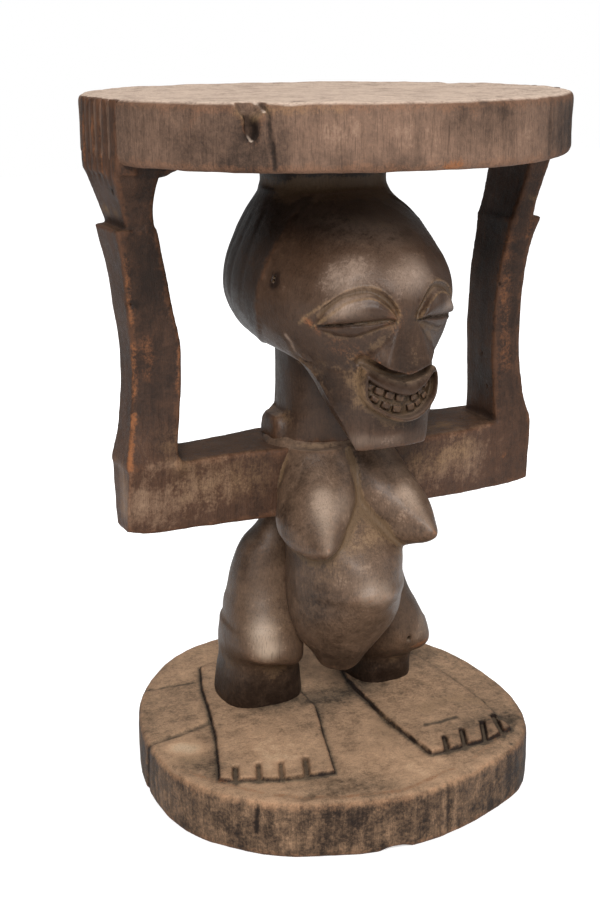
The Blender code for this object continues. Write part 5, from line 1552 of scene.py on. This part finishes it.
def shade_right_leg(places, sizes, marks):
    """Painted shade on the lower leg, under the knee."""
    marks["tone_and_painted_light"] -= SHIN_SHADE * (1 - ease(places[:, 2], *SHIN_SHADE_LEVELS))


def shade_left_leg(places, sizes, marks):
    """The same painted shade, which reaches less high on this side."""
    marks["tone_and_painted_light"] -= SHIN_SHADE * (1 - ease(places[:, 2] + SPARE, *SHIN_SHADE_LEVELS))


def shade_seat(places, sizes, marks):
    # Painted shade in the checks
    marks["tone_and_painted_light"] += crack_shade(places, SEAT_CRACKS)


def darken_base(places, sizes, marks):
    """A darker side, and painted shade in the checks, along the outlines of the feet and in the toe slots.
    """
    x, y, z = places.T
    # Painted shade in the checks, and a side darker than the top
    tone_and_painted_light = crack_shade(places, BASE_CRACKS) - BASE_SIDE_DARKENING * (1 - ease(z, BASE_TOP - SPARE, BASE_TOP))
    top = z > BASE_TOP - HIDDEN
    for foot in FEET:
        # Painted shade along the outlines of the feet
        tone_and_painted_light += top * groove(within(x, y, on_base(sizes, foot)) - FOOT_EDGE, FOOT_LINE_WIDTH, FOOT_LINE_SHADE)
    for line in (*TOE_SLOTS, LEFT_INSTEP):
        # Painted shade in the toe slots and along the instep
        tone_and_painted_light += top * groove(near_line(x, y, on_base(sizes, line))[0], sizes.toe_slot, SLOT_SHADE)
    marks["tone_and_painted_light"] += tone_and_painted_light


def wear(points, pairs, normals):
    """How proud or hidden each place is, close by and over a wider stretch."""
    near = averaged(points, pairs, WEAR_ROUNDS[0])
    far = averaged(near, pairs, WEAR_ROUNDS[1])
    sharp = np.sum((points - near) * normals, axis=1)
    broad = np.sum((near - far) * normals, axis=1)
    return {"edge": averaged(np.clip(sharp / WEAR_SCALES[0], -1, 1), pairs, WEAR_EASING[0]),
            "swell": averaged(np.clip(broad / WEAR_SCALES[1], -1, 1), pairs, WEAR_EASING[1])}


def worked_mesh(name, clay, sizes, seed):
    """A closed mesh from the clay, dressed with tool marks and measured for wear."""
    points, faces = skin(clay)
    pairs = side_pairs(faces)
    points = points + (averaged(points, pairs, 1) - points) * SKIN_EASING
    cuts = tool_cuts(points * np.array((1.0, 1.0, TOOL_STRETCH)), sizes.tool_size, seed)
    lumps = lattice_noise(points, LUMP_SIZE, seed + 1)
    height = sizes.tool_marks * (cuts - CUT_MIDDLE + LUMP_SHARE * lumps)
    points = points + skin_normals(points, faces) * np.minimum(height, SKIN_ROOM)[:, None]
    points = np.clip(points, *CAD_BOX)
    marks = wear(points, pairs, skin_normals(points, faces))
    mesh = bpy.data.meshes.new(name)
    mesh.from_pydata(points.tolist(), [], faces.tolist())
    mesh.validate()
    mesh.shade_smooth()
    for label, values in marks.items():
        store(mesh, label, values)
    thing = bpy.data.objects.new(name, mesh)
    bpy.context.scene.collection.objects.link(thing)
    return thing


def store(mesh, label, values):
    """Keep a number for each vertex where the materials can read it."""
    layer = mesh.attributes.new(label, "FLOAT", "POINT")
    layer.data.foreach_set("value", np.asarray(values, np.float32))


# Wood

class Wire:
    """A value in a node tree; sums and products of wires are wired up as they are written."""

    def __init__(self, tree, end):
        self.tree, self.end = tree, end

    def __add__(self, other):
        return maths(self.tree, "ADD", self, other)

    def __radd__(self, other):
        return maths(self.tree, "ADD", other, self)

    def __sub__(self, other):
        return maths(self.tree, "SUBTRACT", self, other)

    def __rsub__(self, other):
        return maths(self.tree, "SUBTRACT", other, self)

    def __mul__(self, other):
        return maths(self.tree, "MULTIPLY", self, other)

    def most(self, other):
        """The greater of two values."""
        return maths(self.tree, "MAXIMUM", self, other)

    def held(self):
        """The same value, kept between 0 and 1."""
        self.end.node.use_clamp = True
        return self

    def spread(self, low, high, to_low=0.0, to_high=1.0):
        """The value stretched so that one range becomes another, softly."""
        inputs = {"Value": self, "From Min": low, "From Max": high, "To Min": to_low, "To Max": to_high}
        made = node(self.tree, "ShaderNodeMapRange", inputs, interpolation_type="SMOOTHSTEP")
        return Wire(self.tree, made.outputs[0])


def node(tree, kind, inputs=(), **settings):
    """A node with its settings, its values, and what feeds it."""
    made = tree.nodes.new(kind)
    for key, value in settings.items():
        setattr(made, key, value)
    for key, value in dict(inputs).items():
        if isinstance(value, Wire):
            tree.links.new(value.end, made.inputs[key])
        else:
            made.inputs[key].default_value = value
    return made


def maths(tree, operation, *values):
    """A number worked out from others, linked or plain."""
    return Wire(tree, node(tree, "ShaderNodeMath", enumerate(values), operation=operation).outputs[0])


def tint(amount, below, above):
    """One colour laid over another by an amount."""
    mix = node(amount.tree, "ShaderNodeMix", {0: amount, 6: below, 7: above}, data_type="RGBA")
    return Wire(amount.tree, mix.outputs[2])


def object_place(tree):
    return Wire(tree, node(tree, "ShaderNodeTexCoord").outputs["Object"])


def stretched(place, scale):
    """Coordinates squeezed along each axis by its own amount."""
    made = node(place.tree, "ShaderNodeMapping", {"Vector": place, "Scale": scale})
    return Wire(place.tree, made.outputs[0])


def noise(place, scale, detail, roughness=0.5, output=0):
    inputs = {"Vector": place, "Scale": scale, "Detail": detail, "Roughness": roughness}
    return Wire(place.tree, node(place.tree, "ShaderNodeTexNoise", inputs).outputs[output])


def new_group(name, inputs, outputs):
    """A shader node group with its sockets, and the wires that come from its inputs."""
    tree = bpy.data.node_groups.new(name, "ShaderNodeTree")
    for label, value in inputs.items():
        kind = "NodeSocketFloat" if isinstance(value, float) else "NodeSocketColor"
        tree.interface.new_socket(name=label, in_out="INPUT", socket_type=kind).default_value = value
    for label, kind in outputs.items():
        tree.interface.new_socket(name=label, in_out="OUTPUT", socket_type=kind)
    given = tree.nodes.new("NodeGroupInput")
    return tree, {label: Wire(tree, given.outputs[label]) for label in inputs}


def hand_out(tree, **values):
    """Link the group's outputs."""
    out = tree.nodes.new("NodeGroupOutput")
    for label, value in values.items():
        tree.links.new(value.end, out.inputs[label])


def grain_group():
    """Upright wood grain: fine pores, darker year lines and short checks."""
    outputs = dict.fromkeys(("Pores", "Lines", "Checks"), "NodeSocketFloat")
    tree, given = new_group("wood_grain", {"Line scale": 1.0}, outputs)
    place, scale = object_place(tree), given["Line scale"]
    wander = noise(place, 14.0, 2.0, output="Color")
    bend = node(tree, "ShaderNodeVectorMath", {0: wander, "Scale": GRAIN_WANDER}, operation="SCALE")
    bent = node(tree, "ShaderNodeVectorMath", {0: place, 1: Wire(tree, bend.outputs[0])}, operation="ADD")
    bent = Wire(tree, bent.outputs[0])
    pores = noise(stretched(place, PORE_SCALE), 1.0, 3.0, 0.7)
    lines = noise(stretched(bent, YEAR_LINE_SCALE), scale, 6.0, 0.66)
    checks = noise(stretched(bent, CHECK_SCALE), scale, 2.0, 0.5)
    hand_out(tree, Pores=pores.spread(0.3, 0.7), Lines=lines.spread(0.3, 0.7),
             Checks=checks.spread(0.68, 0.76))


def weighed(*pairs):
    """The sum of values, each less its middle of a half and times its own weight."""
    return sum((value - 0.5) * weight for value, weight in pairs)


def coat_group():
    """Old handled wood: grime and painted shade in hollows, rubbed edges, mottling, painted highlights,
    pale dust.
    """
    inputs = dict.fromkeys(("Wood", "Dark", "Pale", "Rubbed", "Dust", "Silt tint"), (0.1, 0.06, 0.04, 1.0))
    inputs.update({"Mottle": 0.5, "Rub": 0.5, "Grime and shade": 0.5, "Silt": 0.0, "Dusting": 0.2, "Gloss": 0.4,
                   "Grain": 0.4, "Sheen": 0.0})
    tree, given = new_group("handled_wood", inputs, {
        "Color": "NodeSocketColor", "Roughness": "NodeSocketFloat", "Height": "NodeSocketFloat"})
    place = object_place(tree)
    edge, swell, tone_and_painted_light, rubbed, dusty = (
        Wire(tree, node(tree, "ShaderNodeAttribute", attribute_name=name).outputs["Fac"])
        for name in ("edge", "swell", *MARK_NAMES))
    grain = node(tree, "ShaderNodeGroup", node_tree=bpy.data.node_groups["wood_grain"])
    grain.inputs["Line scale"].default_value = 1.0
    pores, lines, checks = (Wire(tree, grain.outputs[name]) for name in ("Pores", "Lines", "Checks"))
    cloud, patch, speck = (noise(place, *look).spread(0.3, 0.7) for look in MOTTLES)
    ragged = weighed((cloud, 0.35), (patch, 0.55), (speck, 0.5))
    # Wood: clouds, patches and specks, year lines and the painted tone, with its painted highlights and
    # painted shade
    mottle = weighed((cloud, 0.55), (patch, 0.65), (speck, 0.55)) * given["Mottle"]
    shade = mottle + weighed((lines, 1.0)) * given["Grain"] + tone_and_painted_light
    # Painted highlight: where the painted tone is high, a soft pale sheen takes the place of ragged pale
    # wood
    painted_sheen = tone_and_painted_light.spread(0.05, 0.85) * given["Sheen"]
    shade = shade - painted_sheen * 0.75
    body = tint(shade.spread(-0.9, 0.7), given["Dark"], given["Wood"])
    # Pale where the tone runs high: the wood's pale patches and the painted highlights
    body = tint(((shade - 0.28) * 1.1).held(), body, given["Pale"])
    body = tint(painted_sheen * 0.85, body, given["Pale"])
    # Grime and painted shade in deep hollows, silt in the gentle ones
    hollow = 0.0 - (swell + edge * 0.7)
    gentle = (hollow + ragged).spread(0.1, 0.7) * given["Silt"]
    settled = (dusty + ragged * 0.9).spread(-0.1, 1.0) * dusty.spread(0.0, 0.5)
    settled = settled.held().most(gentle)
    deep = (hollow.spread(0.3, 1.1) * given["Grime and shade"]).held()
    body = tint(deep, body, given["Dark"])
    # Rubbed edges show the bare reddish wood
    bare = ((edge + swell * 0.2 + ragged).spread(0.45, 1.2) * given["Rub"]).held()
    torn = ((rubbed + ragged * 1.1).spread(0.0, 1.0) * rubbed.spread(0.0, 0.5)).held()
    bare = bare.most(torn)
    body = tint(bare, body, given["Rubbed"])
    body = tint(settled * 0.8, body, given["Silt tint"])
    # Dust where the skin is flat to the sky
    normal = Wire(tree, node(tree, "ShaderNodeNewGeometry").outputs["Normal"])
    up = Wire(tree, node(tree, "ShaderNodeSeparateXYZ", {0: normal}).outputs["Z"])
    lying = (up.spread(0.6, 0.98) * given["Dusting"] * ragged.spread(-0.85, 0.2)).held()
    body = tint(lying, body, given["Dust"])
    body = tint((checks * given["Grain"]).held(), body, given["Dark"])
    body = tint(((0.45 - pores) * 0.8).held(), body, given["Dark"])
    worn = lying.most(deep).most(bare.most(settled))
    rough = given["Gloss"] + weighed((speck, 0.16), (patch, 0.14)) + worn * 0.25
    height = weighed((pores, 0.3), (speck, 0.4), (patch, 0.5), (lines, 0.35)) - checks * 0.8
    hand_out(tree, Color=body, Roughness=rough.held(), Height=height)


def wood_material(name, bump, coat, values):
    """A wood finish from the shared groups, with a piece's own colours and values."""
    material = bpy.data.materials.new(name)
    material.use_nodes = True
    tree = material.node_tree
    shader = tree.nodes["Principled BSDF"]
    wood = node(tree, "ShaderNodeGroup", node_tree=bpy.data.node_groups["handled_wood"])
    for key, value in values.items():
        wood.inputs[key].default_value = value
    relief = node(tree, "ShaderNodeBump", {"Height": Wire(tree, wood.outputs["Height"]), "Strength": bump,
                                           "Distance": BUMP_DEPTH})
    tree.links.new(wood.outputs["Color"], shader.inputs["Base Color"])
    tree.links.new(wood.outputs["Roughness"], shader.inputs["Roughness"])
    tree.links.new(relief.outputs[0], shader.inputs["Normal"])
    shader.inputs["Specular IOR Level"].default_value = SPECULAR_LEVEL
    shader.inputs["Coat Weight"].default_value = coat
    shader.inputs["Coat Roughness"].default_value = COAT_ROUGHNESS
    return material


# Stage

def area_light(name, place, size, power):
    """A round lamp that is aimed at the stool."""
    light = bpy.data.lights.new(name, "AREA")
    light.shape, light.size, light.energy = "DISK", size, power
    thing = bpy.data.objects.new(name, light)
    thing.location = place
    thing.rotation_euler = (Vector(LAMP_TARGET) - Vector(place)).to_track_quat("-Z", "Y").to_euler()
    bpy.context.scene.collection.objects.link(thing)


def set_camera():
    """The photograph's own place, angle and lens."""
    camera = bpy.data.cameras.new("photo_camera")
    camera.sensor_fit, camera.sensor_height, camera.lens = "VERTICAL", SENSOR_HEIGHT, CAMERA_LENS
    camera.clip_start, camera.clip_end = CAMERA_CLIP
    thing = bpy.data.objects.new("photo_camera", camera)
    aim = Vector(CAMERA_AIM).to_track_quat("-Z", "Y").to_matrix().to_4x4()
    thing.matrix_world = Matrix.Translation(CAMERA_PLACE) @ aim @ Matrix.Rotation(CAMERA_ROLL, 4, "Z")
    bpy.context.scene.collection.objects.link(thing)
    bpy.context.scene.camera = thing


def set_floor(colour):
    """A white floor that runs to the horizon and keeps the shadow of the stool."""
    mesh = bpy.data.meshes.new("studio_floor")
    corners = [(-FLOOR_HALF, -FLOOR_HALF, 0.0), (FLOOR_HALF, -FLOOR_HALF, 0.0),
               (FLOOR_HALF, FLOOR_HALF, 0.0), (-FLOOR_HALF, FLOOR_HALF, 0.0)]
    mesh.from_pydata(corners, [], [(0, 1, 2, 3)])
    floor = bpy.data.objects.new("studio_floor", mesh)
    bpy.context.scene.collection.objects.link(floor)
    material = bpy.data.materials.new("white_floor")
    material.use_nodes = True
    tree = material.node_tree
    shader = tree.nodes["Principled BSDF"]
    for label, value in (("Base Color", colour), ("Roughness", FLOOR_ROUGHNESS),
                         ("Specular IOR Level", 0.0), ("Emission Color", WHITE)):
        shader.inputs[label].default_value = value
    seen = Wire(tree, tree.nodes.new("ShaderNodeLightPath").outputs["Is Camera Ray"])
    away = node(tree, "ShaderNodeVectorMath", {0: object_place(tree)}, operation="LENGTH").outputs["Value"]
    glow = seen * Wire(tree, away).spread(*FLOOR_GLOW)
    tree.links.new(glow.end, shader.inputs["Emission Strength"])
    mesh.materials.append(material)


def set_world():
    """White where the camera looks at it, and a plain level of light on the wood."""
    world = bpy.data.worlds.new("studio_light")
    bpy.context.scene.world = world
    world.use_nodes = True
    tree = world.node_tree
    back = tree.nodes["Background"]
    rays = tree.nodes.new("ShaderNodeLightPath")
    seen, through = (Wire(tree, rays.outputs[name]) for name in ("Is Camera Ray", "Is Transmission Ray"))
    tree.links.new(seen.most(through).most(WORLD_LEVEL).end, back.inputs["Strength"])
    back.inputs["Color"].default_value = WHITE


# Colours, operators and the sidebar

def colour(name, description, default):
    return FloatVectorProperty(name=name, description=description, default=(*default, 1.0), size=4,
                               min=0.0, max=1.0, subtype="COLOR")


class StoolColours(PropertyGroup):
    """Colours of the old wood, and of its painted highlights and shade, that a user may change."""
    # Dark end of the wood's mottling, and the colour of the painted shade and shadow
    dark_wood_and_shade: colour("Dark wood and shade", "Dark skin in the hollows and on smoked places", (0.013, 0.0068, 0.0042))
    rubbed: colour("Rubbed wood", "Bare reddish wood on worn edges", (0.22, 0.085, 0.034))
    silt: colour("Silt", "Tan dust that has settled in the carving", (0.22, 0.135, 0.07))
    seat_wood: colour("Seat wood", "Brown of the seat's rim", (0.205, 0.122, 0.082))
    seat_pale: colour("Seat, pale", "Paler streaks on the seat's rim", (0.36, 0.245, 0.175))
    seat_dust: colour("Seat top", "Grey-brown worn top of the seat", (0.53, 0.41, 0.325))
    arm_wood: colour("Arm wood", "Brown of the arms and the shoulder bar", (0.078, 0.038, 0.022))
    arm_pale: colour("Arm, pale", "Paler places on the arms", (0.27, 0.172, 0.11))
    trunk_wood: colour("Trunk wood", "Brown of the trunk", (0.14, 0.085, 0.054))
    # Also the colour of the painted highlights on the breasts and the navel
    trunk_pale: colour("Trunk, pale", "Polished ridges of the trunk", (0.4, 0.295, 0.22))
    head_wood: colour("Head wood", "Brown of the face and neck", (0.068, 0.037, 0.022))
    # Also the colour of the painted highlights on the brow, lids, nose and chin
    head_pale: colour("Head, pale", "Polished brow, lids and chin", (0.42, 0.31, 0.24))
    leg_wood: colour("Leg wood", "Brown of the thighs", (0.13, 0.078, 0.048))
    # Also the colour of the painted highlights on the knees
    leg_pale: colour("Leg, pale", "Polished knees", (0.56, 0.43, 0.32))
    base_wood: colour("Base wood", "Brown of the base and the feet", (0.56, 0.34, 0.2))
    base_pale: colour("Base, pale", "Dusty top of the base", (0.62, 0.46, 0.31))
    floor: colour("Floor", "Studio floor", (0.92, 0.92, 0.92))


# Finishes: what each group of pieces sets in its wood. Sheen is the strength of the painted
# highlights, and the grime value also sets the painted shade in hollows
FINISHES = {
    "seat": {"bump": 0.6, "Gloss": 0.66, "Rub": 0.2, "Mottle": 0.42, "Dusting": 0.92, "Grain": 0.24},
    "arm": {"bump": 0.45, "Gloss": 0.5, "Rub": 0.15, "Mottle": 0.5, "Dusting": 0.15, "Grain": 0.3},
    "trunk": {"bump": 0.35, "coat": 0.08, "Gloss": 0.42, "Sheen": 0.8, "Rub": 0.08, "Mottle": 0.64,
              "Silt": 0.55, "Grime and shade": 0.75, "Grain": 0.1},
    "head": {"bump": 0.25, "coat": 0.07, "Gloss": 0.4, "Sheen": 0.5, "Rub": 0.1, "Mottle": 0.4,
             "Silt": 0.3, "Grime and shade": 0.6, "Grain": 0.08},
    "leg": {"bump": 0.35, "coat": 0.04, "Gloss": 0.46, "Sheen": 0.8, "Rub": 0.05, "Mottle": 0.46,
            "Silt": 0.3, "Grime and shade": 0.7, "Grain": 0.1},
    "base": {"bump": 0.6, "Gloss": 0.64, "Rub": 0.2, "Mottle": 0.5, "Dusting": 0.15, "Grime and shade": 0.3,
             "Grain": 0.24},
}


def finish_for(part, colours):
    """The finish of one group of pieces, made once and kept by its name."""
    name = part + "_finish"
    if name in bpy.data.materials:
        return bpy.data.materials[name]
    for group, make in (("wood_grain", grain_group), ("handled_wood", coat_group)):
        if group not in bpy.data.node_groups:
            make()
    pale = getattr(colours, part + "_pale")
    values = {"coat": 0.0, **FINISHES[part], "Wood": getattr(colours, part + "_wood"), "Pale": pale,
              "Dust": getattr(colours, part + "_dust", pale), "Dark": colours.dark_wood_and_shade,
              "Rubbed": colours.rubbed, "Silt tint": colours.silt}
    return wood_material(name, values.pop("bump"), values.pop("coat"), values)


def place_piece(scene, name, part, clay, nodes, seed, soil_and_shade=None):
    """Lay the skin, paint its marks, and put the piece in place of its nodes."""
    missing = [node_name for node_name in nodes if node_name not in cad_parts]
    if missing:
        raise RuntimeError(f"The frame has no {', '.join(missing)} for {name}")
    thing = worked_mesh(name, clay, scene.stool_sizes, seed)
    mesh = thing.data
    places = np.empty(len(mesh.vertices) * 3, np.float32)
    mesh.vertices.foreach_get("co", places)
    places = places.reshape(-1, 3).astype(float)
    marks = {label: marked(places, table) for label, table in zip(MARK_NAMES, MARKS[name])}
    if soil_and_shade:
        soil_and_shade(places, scene.stool_sizes, marks)
    for label, values in marks.items():
        store(mesh, label, values)
    mesh.materials.append(finish_for(part, scene.stool_colours))
    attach(thing, "root")
    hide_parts(*nodes)


class STOOL_OT_seat(Operator):
    """Carve the round seat, with its chipped rim, checks and dusty top"""
    bl_idname = "stool.seat"
    bl_label = "Carve the seat"

    def execute(self, context):
        scene = context.scene
        place_piece(scene, "seat", "seat", carve_seat(scene.stool_sizes), ["seat_slab"], 10, shade_seat)
        return {"FINISHED"}


class STOOL_OT_arms(Operator):
    """Carve both arms: shoulder bar, forearm and the hand that holds the seat"""
    bl_idname = "stool.arms"
    bl_label = "Carve the arms"

    def execute(self, context):
        scene = context.scene
        for word, side, seed in (("right", -1, 20), ("left", 1, 30)):
            nodes = [f"{word}_{member}" for member in ("upper_arm", "forearm", "hand")]
            place_piece(scene, f"{word}_arm", "arm", carve_arm(scene.stool_sizes, side), nodes, seed)
        return {"FINISHED"}


class STOOL_OT_trunk(Operator):
    """Carve the trunk, with its breasts, ridged navel and loins"""
    bl_idname = "stool.trunk"
    bl_label = "Carve the trunk"

    def execute(self, context):
        scene = context.scene
        nodes = ["torso", "right_breast", "left_breast", "loin_wedge"]
        place_piece(scene, "trunk", "trunk", carve_trunk(scene.stool_sizes), nodes, 40)
        return {"FINISHED"}


class STOOL_OT_head(Operator):
    """Carve the head with its face and coiffure, the neck and the block on the crown"""
    bl_idname = "stool.head"
    bl_label = "Carve the head"

    def execute(self, context):
        scene = context.scene
        nodes = ["head", "coiffure", "neck", "head_pad"]
        place_piece(scene, "carved_head", "head", carve_head(scene.stool_sizes), nodes, 50, soil_and_shade_head)
        return {"FINISHED"}


class STOOL_OT_legs(Operator):
    """Carve both legs: thigh, knee and lower leg"""
    bl_idname = "stool.legs"
    bl_label = "Carve the legs"

    def execute(self, context):
        scene = context.scene
        for word, side, seed, soil_and_shade in (("right", -1, 60, shade_right_leg), ("left", 1, 70, shade_left_leg)):
            nodes = [f"{word}_thigh", f"{word}_shin"]
            place_piece(scene, f"{word}_leg", "leg", carve_leg(scene.stool_sizes, side), nodes, seed, soil_and_shade)
        return {"FINISHED"}


class STOOL_OT_base(Operator):
    """Carve the round base with both feet in relief"""
    bl_idname = "stool.base"
    bl_label = "Carve the base"

    def execute(self, context):
        scene = context.scene
        nodes = ["base_slab", "right_foot", "left_foot"]
        place_piece(scene, "base", "base", carve_base(scene.stool_sizes), nodes, 80, darken_base)
        return {"FINISHED"}


class STOOL_OT_stage(Operator):
    """Set the floor, the lamps, the white surroundings and the camera"""
    bl_idname = "stool.stage"
    bl_label = "Set the studio"

    def execute(self, context):
        context.scene.view_settings.view_transform = "Standard"
        set_floor(context.scene.stool_colours.floor)
        set_camera()
        set_world()
        for lamp in LAMPS:
            area_light(*lamp)
        return {"FINISHED"}


class STOOL_PT_sidebar(Panel):
    """Sizes, colours and steps of the stool"""
    bl_label = "Caryatid stool"
    bl_space_type = "VIEW_3D"
    bl_region_type = "UI"
    bl_category = "Stool"

    def draw(self, context):
        for operator in OPERATORS:
            self.layout.operator(operator.bl_idname)
        for group in (context.scene.stool_sizes, context.scene.stool_colours):
            box = self.layout.box()
            for name in group.__annotations__:
                box.prop(group, name)


OPERATORS = (STOOL_OT_seat, STOOL_OT_arms, STOOL_OT_trunk, STOOL_OT_head, STOOL_OT_legs, STOOL_OT_base,
             STOOL_OT_stage)
CLASSES = (StoolSizes, StoolColours, *OPERATORS, STOOL_PT_sidebar)


def register():
    for item in CLASSES:
        bpy.utils.register_class(item)
    bpy.types.Scene.stool_sizes = PointerProperty(type=StoolSizes)
    bpy.types.Scene.stool_colours = PointerProperty(type=StoolColours)


def unregister():
    del bpy.types.Scene.stool_sizes, bpy.types.Scene.stool_colours
    for item in reversed(CLASSES):
        bpy.utils.unregister_class(item)


def main():
    register()
    bpy.ops.stool.seat()
    bpy.ops.stool.arms()
    bpy.ops.stool.trunk()
    bpy.ops.stool.head()
    bpy.ops.stool.legs()
    bpy.ops.stool.base()
    bpy.ops.stool.stage()


if __name__ == "__main__":
    main()
